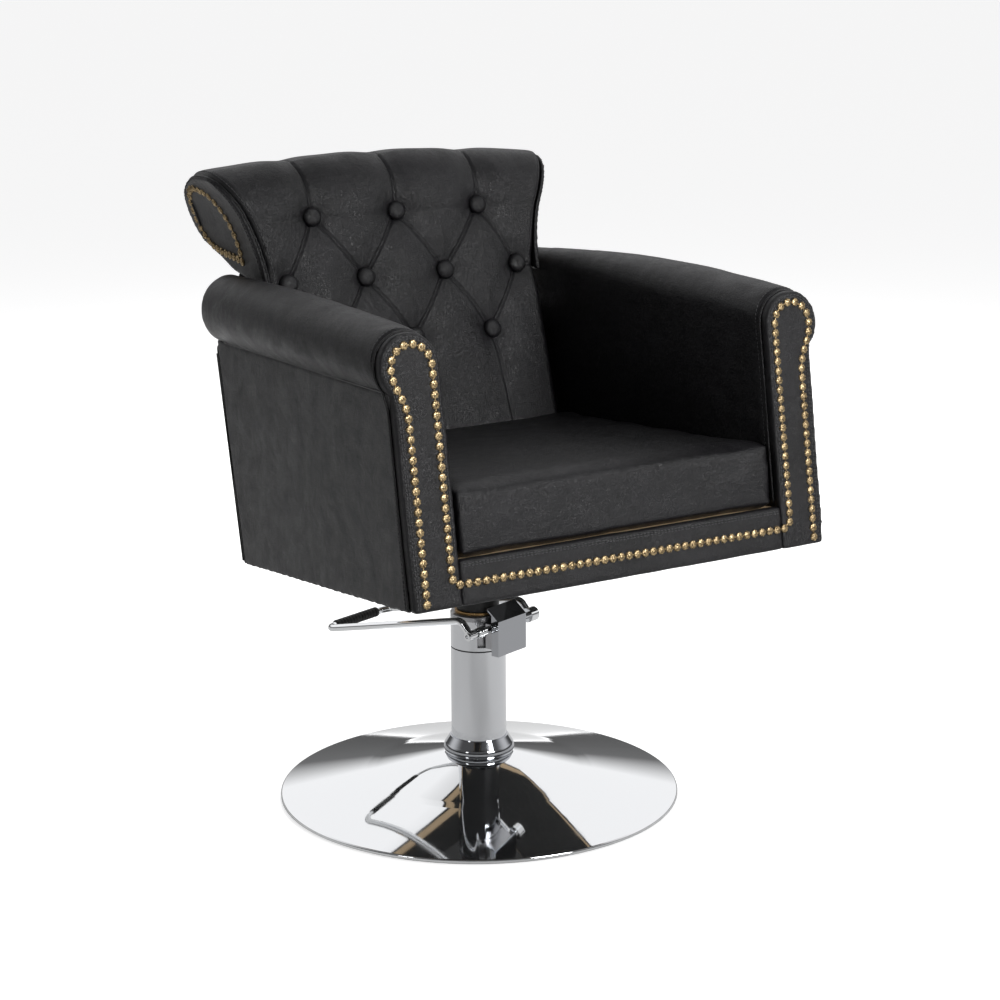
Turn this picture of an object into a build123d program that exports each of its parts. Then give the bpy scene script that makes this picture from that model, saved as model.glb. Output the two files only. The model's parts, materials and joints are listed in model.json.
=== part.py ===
from build123d import *

import os
from math import asin, cos, degrees, radians, sin, sqrt

os.makedirs("parts", exist_ok=True)

# A hydraulic styling chair: round base, lifting pump column, foot bail and a tub seat with a buttoned back.
# Millimetres. The origin is the middle of the base on the floor, +Z is up, the chair faces -Y and +X is on
# the sitter's left. The column is shown at its lowest and the seat faces straight ahead.

FIT = 0.05  # radial running clearance of a shaft in its bore
PRESS = 0.02  # radial clearance of a piece that is fixed on its shaft
GAP = 0.3  # clearance between upholstery pieces that lie against each other

# Base
DISC_RADIUS = 275
RIM_TOP = 7
SLOPE_RADIUS = 150  # where the shell's slope eases, between its neck and its rim
SLOPE_TOP = 33
NECK_RADIUS = 48
NECK_TOP = 58
DISC_SHEET = 3
EDGE_RING_OUTER = 270
EDGE_RING_INNER = 258
EDGE_RING_HEIGHT = 4.2
WEIGHT_PLATE_BOTTOM = 5
WEIGHT_PLATE_TOP = 9
WEIGHT_PLATE_OUTER = 215
WEIGHT_PLATE_INNER = 60
FLANGE_RADIUS = 100
FLANGE_TOP = 17
FLANGE_BOLT_CIRCLE = 75

# Column
TUBE_RADIUS = 38
TUBE_WALL = 3.5
TUBE_TOP = 210
CYLINDER_RADIUS = 32
CYLINDER_BORE = 27
CYLINDER_BOTTOM = 40
CYLINDER_TOP = 253
ROD_RADIUS = 14
PISTON_BOTTOM = 190
PISTON_TOP = 204
BUSH_BOTTOM = 176
HEAD_BOTTOM = 212
FLANGE_HEAD_TOP = 261
SPINDLE_RADIUS = 18
SPINDLE_TOP = 322
HUB_RADIUS = 29
HUB_BOTTOM = 264.3

# Pump lever, which hangs across the pump on the pivot shaft
PUMP_TURN = 19
PIVOT_BACK = -40
PIVOT_HEIGHT = 246
SHAFT_RADIUS = 4.5
BLOCK_HALF_WIDTH = 24
BLOCK_FRONT = -57.5
BLOCK_REAR = -33
BLOCK_BOTTOM = 217.3
BLOCK_TOP = 252
CAM_DROP = 14
CAM_LOBE = 4
CAM_SLOT = 14
CAM_SLOT_FRONT = -49.4
CAM_SLOT_DEPTH = 27
PLUNGER_RADIUS = 5
PLUNGER_LENGTH = 6.3
CHAMBER_END = 56
BAIL_ROD = 5
BAIL_HALF_WIDTH = 64
BAIL_BACK = 226
BAIL_HEIGHT = 207

# Tub seat: the whole tub is pitched back about its front bottom edge
TUB_PITCH = 7
TUB_FRONT = -360
TUB_FRONT_HEIGHT = 391.5
FRONT_LEAN = 2.2
FACING_THICK = 14
FACING_BOTTOM_HALF = 305
FACING_INNER_HALF = 240
RAIL_HEIGHT = 54
SCROLL_CENTRE = 281
SCROLL_CENTRE_HEIGHT = 286.5
SCROLL_RADIUS = 40
SIDE_FRONT_HALF = 307
SIDE_TAPER = 0.0755  # how fast the outside faces close in towards the rear
INSIDE_FRONT_HALF = 241
INSIDE_TAPER = 0.0263
SKIN_THICK = 6
FRAME_THICK = 20
BOARD_THICK = 18
TUCK_FRONT_HEIGHT = 255.5
TUCK_RISE = 0.0875
REAR_FOOT = 175  # where the outside back meets the bottom of the tub
REAR_FOOT_HEIGHT = 325.8
REAR_LEAN = 13.5
BACK_TOP_OF_FRAME = 700

# Seat back
BACK_FOOT = 83
BACK_FOOT_HEIGHT = 370
BACK_LEAN = 16.28
WAIST_HALF = 217.5
WAIST_HEIGHT = 690
CREST_HALF = 272
CREST_HEIGHT = 848
FLARE_RISE = CREST_HEIGHT - WAIST_HEIGHT
FLARE_OUT = CREST_HALF - WAIST_HALF
FLARE_RADIUS = (FLARE_RISE**2 + FLARE_OUT**2) / (2 * FLARE_OUT)
CREST_RISE = 18.5  # how much higher the middle of the crest is than its ends
BUTTON_RADIUS = 12.5
BUTTON_DEPTH = 12
FACE_LENGTH = 430  # up the straight front of the back, to where the head starts to roll over
# Points of the head's outline in depth and height, where the crest is lowest
BROW = (219, 819)
CREST_FRONT = (261, 841)
CREST_BACK = (316, 834)
ROLL_SHOULDER = (354, 817)
ROLL_REAR = (382, 782)
ROLL_UNDER = (360, 742)
ROLL_UNDER_SHARE = 0.7  # of the crest's rise
HOLLOW = (276, 713)
SHELF = (238, 704)
REAR_BOTTOM = (152, 350)

# Decorative nails
NAIL_RADIUS = 4.9
NAIL_PITCH = 12.2


def save(piece, name):
    """Label a finished piece and write its STEP file."""
    piece.part.label = name
    export_step(piece.part, f"parts/{name}.step")


def turned(points):
    """A solid of revolution about the Z axis from an outline of (radius, height) points."""
    with BuildPart() as piece:
        with BuildSketch(Plane.XZ):
            with BuildLine():
                Polyline(*points, close=True)
            make_face()
        revolve(axis=Axis.Z)
    return piece


def ring(outer, inner, bottom, top):
    """A plain ring about the Z axis."""
    return turned([(inner, bottom), (outer, bottom), (outer, top), (inner, top)])


# ---------------------------------------------------------------- base

# Chromed conical shell with a rolled rim
with BuildPart() as base_disc:
    with BuildSketch(Plane.XZ):
        with BuildLine():
            top = FilletPolyline(
                (TUBE_RADIUS + 1, NECK_TOP),
                (NECK_RADIUS, NECK_TOP),
                (SLOPE_RADIUS, SLOPE_TOP),
                (DISC_RADIUS, RIM_TOP),
                (DISC_RADIUS, 2.5),
                radius=[2, 400, 2.5],
            )
            under = FilletPolyline(
                (DISC_RADIUS - 3, 2.5),
                (DISC_RADIUS - 3, RIM_TOP - DISC_SHEET + 0.4),
                (SLOPE_RADIUS - 1, SLOPE_TOP - DISC_SHEET),
                (NECK_RADIUS - 1, NECK_TOP - DISC_SHEET),
                (TUBE_RADIUS + 1, NECK_TOP - DISC_SHEET),
                radius=[0.4, 400, 1],
            )
            Line(top @ 1, under @ 0)
            Line(under @ 1, top @ 0)
        make_face()
    revolve(axis=Axis.Z)
save(base_disc, "base_disc")

# Rubber ring that stands on the floor under the rim
edge_ring = ring(EDGE_RING_OUTER, EDGE_RING_INNER, 0, EDGE_RING_HEIGHT)
save(edge_ring, "edge_ring")

# Steel weight plate inside the disc, with countersunk holes for the flange bolts
with BuildPart() as weight_plate:
    with BuildSketch(Plane.XY.offset(WEIGHT_PLATE_BOTTOM)):
        Circle(WEIGHT_PLATE_OUTER)
        Circle(WEIGHT_PLATE_INNER, mode=Mode.SUBTRACT)
    extrude(amount=WEIGHT_PLATE_TOP - WEIGHT_PLATE_BOTTOM)
    with Locations(Plane.XY.offset(WEIGHT_PLATE_BOTTOM).rotated((180, 0, 0))):
        with PolarLocations(FLANGE_BOLT_CIRCLE, 4, start_angle=45):
            CounterSinkHole(5.2, 9.2, depth=WEIGHT_PLATE_TOP - WEIGHT_PLATE_BOTTOM)
save(weight_plate, "weight_plate")

# Welded socket that the outer tube stands in, with the threaded boss of the ram in its middle
RAM_SEAT = 25
BOSS_TOP = 31
SOCKET_TOP = 50
with BuildPart() as tube_socket:
    with BuildSketch(Plane.XY.offset(WEIGHT_PLATE_TOP)):
        Circle(FLANGE_RADIUS)
        with PolarLocations(FLANGE_BOLT_CIRCLE, 4, start_angle=45):
            Circle(5.2, mode=Mode.SUBTRACT)
    extrude(amount=FLANGE_TOP - WEIGHT_PLATE_TOP)
    with BuildSketch(Plane.XY.offset(FLANGE_TOP)):
        Circle(TUBE_RADIUS + 6)
        Circle(TUBE_RADIUS + FIT, mode=Mode.SUBTRACT)
    extrude(amount=SOCKET_TOP - FLANGE_TOP)
    with BuildSketch(Plane.XY.offset(FLANGE_TOP)):
        Circle(TUBE_RADIUS - TUBE_WALL - FIT)
    extrude(amount=BOSS_TOP - FLANGE_TOP)
    with BuildSketch(Plane.XY.offset(WEIGHT_PLATE_TOP)):
        Circle(8 + FIT)
    extrude(amount=BOSS_TOP - WEIGHT_PLATE_TOP, mode=Mode.SUBTRACT)
    with BuildSketch(Plane.XY.offset(RAM_SEAT)):
        Circle(ROD_RADIUS + FIT)
    extrude(amount=BOSS_TOP - RAM_SEAT, mode=Mode.SUBTRACT)
save(tube_socket, "tube_socket")

# Four countersunk bolts and their nuts clamp the flange to the weight plate
with BuildPart() as flange_bolts:
    for place in PolarLocations(FLANGE_BOLT_CIRCLE, 4, start_angle=45):
        with BuildSketch(Plane(place.position).offset(WEIGHT_PLATE_BOTTOM)):
            Circle(9)
        extrude(amount=4, taper=45)
        with BuildSketch(Plane(place.position).offset(WEIGHT_PLATE_BOTTOM)):
            Circle(5)
        extrude(amount=24)
save(flange_bolts, "flange_bolts")

with BuildPart() as flange_nuts:
    with BuildSketch(Plane.XY.offset(FLANGE_TOP)):
        with PolarLocations(FLANGE_BOLT_CIRCLE, 4, start_angle=45):
            RegularPolygon(9.8, 6)
            Circle(5 + FIT, mode=Mode.SUBTRACT)
    extrude(amount=8)
save(flange_nuts, "flange_nuts")

# Low hexagon bolt with a flange, which holds the ram to the socket
with BuildPart() as centre_bolt:
    with BuildSketch(Plane.XY.offset(1.8)):
        RegularPolygon(13.5, 6)
    extrude(amount=4.7)
    with BuildSketch(Plane.XY.offset(6.5)):
        Circle(16)
    extrude(amount=WEIGHT_PLATE_TOP - 6.5)
    with BuildSketch(Plane.XY.offset(WEIGHT_PLATE_TOP)):
        Circle(8)
    extrude(amount=RAM_SEAT - 0.5 - WEIGHT_PLATE_TOP)
save(centre_bolt, "centre_bolt")

# Chromed collar that hides the joint between tube and disc
with BuildPart() as collar_ring:
    with BuildSketch(Plane.XZ):
        with BuildLine():
            Polyline(
                (45.5, NECK_TOP),
                (TUBE_RADIUS + FIT, NECK_TOP),
                (TUBE_RADIUS + FIT, 83),
                (40.2, 83),
                (46.2, 73),
            )
            ThreePointArc((46.2, 73), (48.6, 66.5), (45.5, NECK_TOP))
        make_face()
    revolve(axis=Axis.Z)
save(collar_ring, "collar_ring")

# ---------------------------------------------------------------- column, fixed part

outer_tube = ring(TUBE_RADIUS, TUBE_RADIUS - TUBE_WALL, FLANGE_TOP, TUBE_TOP)
save(outer_tube, "outer_tube")

# Fixed ram: its rod stands in the socket and its piston stays still while the cylinder lifts round it
STUD_TOP = 214
ram_rod = turned(
    [
        (0, RAM_SEAT),
        (ROD_RADIUS, RAM_SEAT),
        (ROD_RADIUS, PISTON_BOTTOM),
        (8, PISTON_BOTTOM),
        (8, STUD_TOP),
        (0, STUD_TOP),
    ]
)
save(ram_rod, "ram_rod")

ram_piston = turned(
    [
        (8 + FIT, PISTON_BOTTOM),
        (CYLINDER_BORE - FIT, PISTON_BOTTOM),
        (CYLINDER_BORE - FIT, PISTON_BOTTOM + 5),
        (24, PISTON_BOTTOM + 5),
        (24, PISTON_BOTTOM + 9),
        (CYLINDER_BORE - FIT, PISTON_BOTTOM + 9),
        (CYLINDER_BORE - FIT, PISTON_TOP),
        (8 + FIT, PISTON_TOP),
    ]
)
save(ram_piston, "ram_piston")

piston_seal = ring(CYLINDER_BORE - 0.02, 24.02, PISTON_BOTTOM + 5.1, PISTON_BOTTOM + 8.9)
save(piston_seal, "piston_seal")

with BuildPart() as piston_nut:
    with BuildSketch(Plane.XY.offset(PISTON_TOP)):
        RegularPolygon(13.8, 6)
        Circle(8 + FIT, mode=Mode.SUBTRACT)
    extrude(amount=9)
save(piston_nut, "piston_nut")

guide_bush = ring(TUBE_RADIUS - TUBE_WALL - FIT, CYLINDER_RADIUS + FIT, BUSH_BOTTOM, TUBE_TOP - 0.5)
save(guide_bush, "guide_bush")

wiper_ring = ring(TUBE_RADIUS - 0.6, CYLINDER_RADIUS + 0.1, TUBE_TOP, TUBE_TOP + 1.6)
save(wiper_ring, "wiper_ring")

# ---------------------------------------------------------------- column, lifting part

pump_cylinder = ring(CYLINDER_RADIUS, CYLINDER_BORE, CYLINDER_BOTTOM, CYLINDER_TOP)
save(pump_cylinder, "pump_cylinder")

rod_gland = ring(CYLINDER_BORE - FIT, ROD_RADIUS + FIT, CYLINDER_BOTTOM, CYLINDER_BOTTOM + 18)
save(rod_gland, "rod_gland")

# The pump frame is turned about the column: x along the pivot shaft, y backwards, seen from the front block
pump_plan = Plane.XY.rotated((0, 0, PUMP_TURN))
pump_side = Plane(origin=(0, 0, 0), x_dir=pump_plan.y_dir, z_dir=pump_plan.x_dir)
pump_front = Plane(origin=(0, 0, 0), x_dir=pump_plan.x_dir, z_dir=pump_plan.y_dir * -1)

# Head casing: continues the tube, with a window for the valve block
with BuildPart() as head_casing:
    with BuildSketch(Plane.XY.offset(HEAD_BOTTOM)):
        Circle(TUBE_RADIUS)
        Circle(CYLINDER_RADIUS + FIT, mode=Mode.SUBTRACT)
    extrude(amount=CYLINDER_TOP - HEAD_BOTTOM)
    with BuildSketch(Plane.XY.offset(HEAD_BOTTOM + 5)):
        Circle(TUBE_RADIUS - TUBE_WALL)
    extrude(amount=CYLINDER_TOP - HEAD_BOTTOM, mode=Mode.SUBTRACT)
    with BuildSketch(pump_plan.offset(HEAD_BOTTOM + 5)):
        with Locations((0, -TUBE_RADIUS)):
            Rectangle(60, 2 * TUBE_RADIUS)
    extrude(amount=CYLINDER_TOP - HEAD_BOTTOM, mode=Mode.SUBTRACT)
save(head_casing, "head_casing")

# Cast head that closes the cylinder and carries the swivel spindle
head_flange = turned(
    [
        (0, CYLINDER_TOP - 15),
        (CYLINDER_BORE - FIT, CYLINDER_TOP - 15),
        (CYLINDER_BORE - FIT, CYLINDER_TOP),
        (TUBE_RADIUS, CYLINDER_TOP),
        (TUBE_RADIUS, FLANGE_HEAD_TOP - 2),
        (TUBE_RADIUS - 2, FLANGE_HEAD_TOP),
        (0, FLANGE_HEAD_TOP),
    ]
)
save(head_flange, "head_flange")

swivel_spindle = turned(
    [
        (0, FLANGE_HEAD_TOP),
        (SPINDLE_RADIUS, FLANGE_HEAD_TOP),
        (SPINDLE_RADIUS, SPINDLE_TOP - 4),
        (SPINDLE_RADIUS - 4, SPINDLE_TOP),
        (0, SPINDLE_TOP),
    ]
)
save(swivel_spindle, "swivel_spindle")

thrust_washer = ring(HUB_RADIUS + 3, SPINDLE_RADIUS + FIT, FLANGE_HEAD_TOP, HUB_BOTTOM - 0.3)
save(thrust_washer, "thrust_washer")

# Valve block: bored for the pivot shaft and the plunger, slotted for the cam
with BuildPart() as valve_block:
    with BuildSketch(pump_side.offset(-BLOCK_HALF_WIDTH)):
        with Locations(((BLOCK_FRONT + BLOCK_REAR) / 2, (BLOCK_BOTTOM + BLOCK_TOP) / 2)):
            Rectangle(BLOCK_REAR - BLOCK_FRONT, BLOCK_TOP - BLOCK_BOTTOM)
    extrude(amount=2 * BLOCK_HALF_WIDTH)
    with BuildSketch(pump_side.offset(-BLOCK_HALF_WIDTH - 1)):
        with Locations((PIVOT_BACK, PIVOT_HEIGHT)):
            Circle(SHAFT_RADIUS + FIT)
    extrude(amount=2 * BLOCK_HALF_WIDTH + 2, mode=Mode.SUBTRACT)
    with BuildSketch(pump_side.offset(-CAM_SLOT / 2)):
        with Locations(((CAM_SLOT_FRONT + BLOCK_REAR) / 2, BLOCK_TOP - CAM_SLOT_DEPTH / 2)):
            Rectangle(BLOCK_REAR - CAM_SLOT_FRONT, CAM_SLOT_DEPTH)
    extrude(amount=CAM_SLOT, mode=Mode.SUBTRACT)
    with BuildSketch(pump_front.offset(PIVOT_BACK * -1)):
        with Locations((0, PIVOT_HEIGHT - CAM_DROP)):
            Circle(PLUNGER_RADIUS + FIT)
    extrude(amount=30, mode=Mode.SUBTRACT)
save(valve_block, "valve_block")

with BuildPart() as chamber_plug:
    with BuildSketch(pump_front.offset(CHAMBER_END)):
        with Locations((0, PIVOT_HEIGHT - CAM_DROP)):
            Circle(PLUNGER_RADIUS)
    extrude(amount=-BLOCK_FRONT - CHAMBER_END)
save(chamber_plug, "chamber_plug")

# Folded sheet cover over the front of the block, with side flanges and a sloping top
COVER_HALF = 30
COVER_SHEET = 2
COVER_FRONT = -60
COVER_BOTTOM = 211
COVER_SHOULDER = 260
COVER_TOP = 276
FLANGE_REAR = -48
with BuildPart() as block_cover:
    with BuildSketch(pump_side.offset(-COVER_HALF)):
        with BuildLine():
            Polyline(
                (COVER_FRONT, COVER_BOTTOM),
                (COVER_FRONT, COVER_SHOULDER),
                (PIVOT_BACK, COVER_TOP),
                (PIVOT_BACK, COVER_TOP - 2.6),
                (COVER_FRONT + COVER_SHEET, COVER_SHOULDER - 1),
                (COVER_FRONT + COVER_SHEET, COVER_BOTTOM),
                close=True,
            )
        make_face()
    extrude(amount=2 * COVER_HALF)
    for side in (-COVER_HALF, COVER_HALF - COVER_SHEET):
        with BuildSketch(pump_side.offset(side)):
            with BuildLine():
                Polyline(
                    (COVER_FRONT, COVER_BOTTOM),
                    (COVER_FRONT, COVER_SHOULDER),
                    (FLANGE_REAR, COVER_TOP - 6.4),
                    (FLANGE_REAR, COVER_BOTTOM),
                    close=True,
                )
            make_face()
        extrude(amount=COVER_SHEET)
save(block_cover, "block_cover")

# ---------------------------------------------------------------- pump lever


def on_shaft(radius, start, end, bore=0.0):
    """A round piece about the pivot shaft between two stations along it."""
    with BuildPart() as piece:
        with BuildSketch(pump_side.offset(start)):
            with Locations((PIVOT_BACK, PIVOT_HEIGHT)):
                Circle(radius)
                if bore:
                    Circle(bore, mode=Mode.SUBTRACT)
        extrude(amount=end - start)
    return piece


EYE_RADIUS = 6.3
KNOB_RADIUS = 10
SPRING_RADIUS = 7.2
SPRING_WIRE = 1.6
pivot_shaft = on_shaft(SHAFT_RADIUS, -66, 60)
save(pivot_shaft, "pivot_shaft")

# The bail: one bent rod, whose ends stop at the bosses on the shaft
with BuildPart() as bail_rod:
    with BuildLine() as bail_path:
        corners = [
            (-BAIL_HALF_WIDTH, PIVOT_BACK, PIVOT_HEIGHT),
            (-BAIL_HALF_WIDTH, PIVOT_BACK + 17, PIVOT_HEIGHT + 18),
            (-BAIL_HALF_WIDTH, BAIL_BACK, BAIL_HEIGHT),
            (BAIL_HALF_WIDTH, BAIL_BACK, BAIL_HEIGHT),
            (BAIL_HALF_WIDTH, PIVOT_BACK + 17, PIVOT_HEIGHT + 18),
            (BAIL_HALF_WIDTH, PIVOT_BACK, PIVOT_HEIGHT),
        ]
        bail_points = [pump_plan.from_local_coords(corner) for corner in corners]
        bail_line = FilletPolyline(*bail_points, radius=[12, 20, 20, 12])
    with BuildSketch(Plane(origin=bail_line @ 0, z_dir=bail_line % 0)):
        Circle(BAIL_ROD)
    sweep(path=bail_line)
    for start in (-BAIL_HALF_WIDTH - 10, BAIL_HALF_WIDTH - 10):
        with BuildSketch(pump_side.offset(start)):
            with Locations((PIVOT_BACK, PIVOT_HEIGHT)):
                Circle(KNOB_RADIUS if start > 0 else EYE_RADIUS)
        extrude(amount=20, mode=Mode.SUBTRACT)
save(bail_rod, "bail_rod")

near_boss = on_shaft(EYE_RADIUS, -70, -57, SHAFT_RADIUS + PRESS)
save(near_boss, "near_boss")

# The far boss is a round knob with a blind bore for the shaft
with BuildPart() as far_boss:
    with BuildSketch(pump_side.offset(57)):
        with Locations((PIVOT_BACK, PIVOT_HEIGHT)):
            Circle(KNOB_RADIUS)
    extrude(amount=17)
    along_shaft = Axis(pump_side.origin, pump_side.z_dir)
    fillet(far_boss.edges().filter_by(GeomType.CIRCLE).sort_by(along_shaft)[-1], 2)
    with BuildSketch(pump_side.offset(57)):
        with Locations((PIVOT_BACK, PIVOT_HEIGHT)):
            Circle(SHAFT_RADIUS + PRESS)
    extrude(amount=3.2, mode=Mode.SUBTRACT)
save(far_boss, "far_boss")

# Socket screw in the end of the near boss
with BuildPart() as boss_screw:
    with BuildSketch(pump_side.offset(-66)):
        with Locations((PIVOT_BACK, PIVOT_HEIGHT)):
            Circle(SHAFT_RADIUS)
            RegularPolygon(2.9, 6, mode=Mode.SUBTRACT)
    extrude(amount=-6)
save(boss_screw, "boss_screw")

# Ribbed foot sleeve on the crossbar
SLEEVE_HALF = 42
RIB_PITCH = 6
with BuildPart() as foot_sleeve:
    with BuildSketch(pump_side.offset(-SLEEVE_HALF)):
        with Locations((BAIL_BACK, BAIL_HEIGHT)):
            Circle(BAIL_ROD + 2)
            Circle(BAIL_ROD + FIT, mode=Mode.SUBTRACT)
    extrude(amount=2 * SLEEVE_HALF)
    for rib in range(1, int(2 * SLEEVE_HALF / RIB_PITCH)):
        with BuildSketch(pump_side.offset(-SLEEVE_HALF + rib * RIB_PITCH - 1)):
            with Locations((BAIL_BACK, BAIL_HEIGHT)):
                Circle(BAIL_ROD + 3)
                Circle(BAIL_ROD + 1.3, mode=Mode.SUBTRACT)
        extrude(amount=2, mode=Mode.SUBTRACT)
save(foot_sleeve, "foot_sleeve")

# Cam keyed on the shaft: its lobe hangs below and pushes the plunger forwards
with BuildPart() as lever_cam:
    with BuildSketch(pump_side.offset(-6)):
        with Locations((PIVOT_BACK, PIVOT_HEIGHT)):
            Circle(7)
        with Locations((PIVOT_BACK, PIVOT_HEIGHT - CAM_DROP / 2)):
            Rectangle(2 * CAM_LOBE, CAM_DROP)
        with Locations((PIVOT_BACK, PIVOT_HEIGHT - CAM_DROP)):
            Circle(CAM_LOBE)
        with Locations((PIVOT_BACK, PIVOT_HEIGHT)):
            Circle(SHAFT_RADIUS + PRESS, mode=Mode.SUBTRACT)
    extrude(amount=12)
save(lever_cam, "lever_cam")

with BuildPart() as pump_plunger:
    with BuildSketch(pump_front.offset(CAM_LOBE - PIVOT_BACK + 0.2)):
        with Locations((0, PIVOT_HEIGHT - CAM_DROP)):
            Circle(PLUNGER_RADIUS)
    extrude(amount=PLUNGER_LENGTH)
save(pump_plunger, "pump_plunger")

# Close-wound torsion spring that lifts the bail, round the shaft beside the block
return_spring = on_shaft(SPRING_RADIUS, -54, -33, SPRING_RADIUS - SPRING_WIRE)
save(return_spring, "return_spring")

# ---------------------------------------------------------------- tub seat: its planes

# Tub plan has x across and y running back along the tub's bottom; heights are square to that bottom
pitch_sin = sin(radians(TUB_PITCH))
pitch_cos = cos(radians(TUB_PITCH))
tub_origin = (0, TUB_FRONT, TUB_FRONT_HEIGHT)
tub_plan = Plane(origin=tub_origin, x_dir=(1, 0, 0), z_dir=(0, pitch_sin, pitch_cos))
tub_side = Plane(origin=tub_origin, x_dir=(0, pitch_cos, -pitch_sin), z_dir=(1, 0, 0))
lean_sin = sin(radians(TUB_PITCH + FRONT_LEAN))
lean_cos = cos(radians(TUB_PITCH + FRONT_LEAN))
front_face = Plane(origin=tub_origin, x_dir=(1, 0, 0), z_dir=(0, -lean_cos, lean_sin))
behind_facing = front_face.offset(-FACING_THICK - GAP)
rear_sin = sin(radians(REAR_LEAN))
rear_cos = cos(radians(REAR_LEAN))
rear_face = Plane(origin=(0, REAR_FOOT, REAR_FOOT_HEIGHT), x_dir=(-1, 0, 0), z_dir=(0, rear_cos, -rear_sin))
before_outside_back = rear_face.offset(-SKIN_THICK - GAP)
before_back_frame = rear_face.offset(-SKIN_THICK - FRAME_THICK - 2 * GAP)
TUB_LENGTH = 620
HUB_STATION = 363  # where the column meets the tub's bottom, measured back from the front
PLATE_SIZE = (210, 190)
PLATE_THICK = 5
SCREW_SPACING = (160, 140)


def outside_half(station, inset=0.0):
    """Half width of the tub's outside faces at a distance behind the front."""
    return SIDE_FRONT_HALF - inset - SIDE_TAPER * station


def inside_half(station):
    """Half width between the inside faces of the arms."""
    return INSIDE_FRONT_HALF - INSIDE_TAPER * station


def tuck_height(station):
    """Height at which the arm roll is tucked in over the outside face."""
    return TUCK_FRONT_HEIGHT + TUCK_RISE * station


def mirrored(piece):
    """The same piece for the other side of the chair."""
    with BuildPart() as twin:
        mirror(piece.part, about=Plane.YZ)
    return twin


def side_slab(outer_inset, inner_half, bottom, clearance):
    """An upright slab along the sitter's left arm, from a bottom height up to the tuck line."""
    far = TUB_LENGTH
    with BuildPart() as piece:
        with BuildSketch(tub_plan.offset(bottom)):
            with BuildLine():
                Polyline(
                    (outside_half(0, outer_inset), 0),
                    (outside_half(far, outer_inset), far),
                    (inner_half(far), far),
                    (inner_half(0), 0),
                    close=True,
                )
            make_face()
        extrude(amount=400)
        with BuildSketch(tub_side):
            with BuildLine():
                Polyline(
                    (0, 0),
                    (far, 0),
                    (far, tuck_height(far) - clearance),
                    (0, tuck_height(0) - clearance),
                    close=True,
                )
            make_face()
        extrude(amount=SIDE_FRONT_HALF + 20, mode=Mode.INTERSECT)
        split(bisect_by=behind_facing, keep=Keep.BOTTOM)
        split(bisect_by=before_outside_back, keep=Keep.BOTTOM)
    return piece


# ---------------------------------------------------------------- tub seat: mounting

with BuildPart() as mount_plate:
    with BuildSketch(tub_plan.offset(-PLATE_THICK)):
        with Locations((0, HUB_STATION)):
            RectangleRounded(*PLATE_SIZE, 8)
            with GridLocations(*SCREW_SPACING, 2, 2):
                Circle(4.3, mode=Mode.SUBTRACT)
    extrude(amount=PLATE_THICK)
save(mount_plate, "mount_plate")

# Hub that turns on the spindle, with four welded gussets up to the plate
with BuildPart() as seat_hub:
    with BuildSketch(Plane.XY.offset(HUB_BOTTOM)):
        Circle(HUB_RADIUS)
    extrude(amount=100)
    for turn in (0, 90, 180, 270):
        gusset_plane = Plane.XZ.rotated((0, 0, turn)).offset(-3)
        with BuildSketch(gusset_plane):
            with BuildLine():
                Polyline((HUB_RADIUS - 2, 300), (78, 350), (78, 380), (HUB_RADIUS - 2, 380), close=True)
            make_face()
        extrude(amount=6)
    split(bisect_by=tub_plan.offset(-PLATE_THICK), keep=Keep.BOTTOM)
    with BuildSketch(Plane.XY.offset(HUB_BOTTOM)):
        Circle(SPINDLE_RADIUS + FIT)
    extrude(amount=SPINDLE_TOP + 1 - HUB_BOTTOM, mode=Mode.SUBTRACT)
save(seat_hub, "seat_hub")

# Coach screws up through the plate into the board
with BuildPart() as mount_screws:
    with BuildSketch(tub_plan.offset(-10.3)):
        with Locations((0, HUB_STATION)):
            with GridLocations(*SCREW_SPACING, 2, 2):
                RegularPolygon(7.5, 6)
    extrude(amount=5.3)
    with BuildSketch(tub_plan.offset(-PLATE_THICK)):
        with Locations((0, HUB_STATION)):
            with GridLocations(*SCREW_SPACING, 2, 2):
                Circle(4)
    extrude(amount=BOARD_THICK + 4)
save(mount_screws, "mount_screws")

# ---------------------------------------------------------------- tub seat: frame


def frame_inner(station):
    """Half width to the inner face of the arm boards."""
    return outside_half(station, SKIN_THICK + GAP + FRAME_THICK)


with BuildPart() as base_board:
    with BuildSketch(tub_plan):
        with BuildLine():
            Polyline(
                (frame_inner(0) - GAP, 0),
                (frame_inner(TUB_LENGTH) - GAP, TUB_LENGTH),
                (GAP - frame_inner(TUB_LENGTH), TUB_LENGTH),
                (GAP - frame_inner(0), 0),
                close=True,
            )
        make_face()
        with Locations((0, HUB_STATION)):
            with GridLocations(*SCREW_SPACING, 2, 2):
                Circle(4.2, mode=Mode.SUBTRACT)
    extrude(amount=BOARD_THICK)
    split(bisect_by=behind_facing, keep=Keep.BOTTOM)
    split(bisect_by=before_outside_back, keep=Keep.BOTTOM)
save(base_board, "base_board")

arm_frame_left = side_slab(SKIN_THICK + GAP, frame_inner, 0, GAP)
save(arm_frame_left, "arm_frame_left")
arm_frame_right = mirrored(arm_frame_left)
save(arm_frame_right, "arm_frame_right")

# Upright board behind the front rail, under the front of the seat deck
DECK_BOTTOM = 42
DECK_TOP = 53
with BuildPart() as rail_board:
    with BuildSketch(tub_side.offset(-inside_half(40) + 1)):
        with BuildLine():
            Polyline(
                (0, BOARD_THICK + GAP),
                (36, BOARD_THICK + GAP),
                (36, DECK_BOTTOM - GAP),
                (0, DECK_BOTTOM - GAP),
                close=True,
            )
        make_face()
    extrude(amount=2 * inside_half(40) - 2)
    split(bisect_by=behind_facing, keep=Keep.BOTTOM)
save(rail_board, "rail_board")

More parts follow.
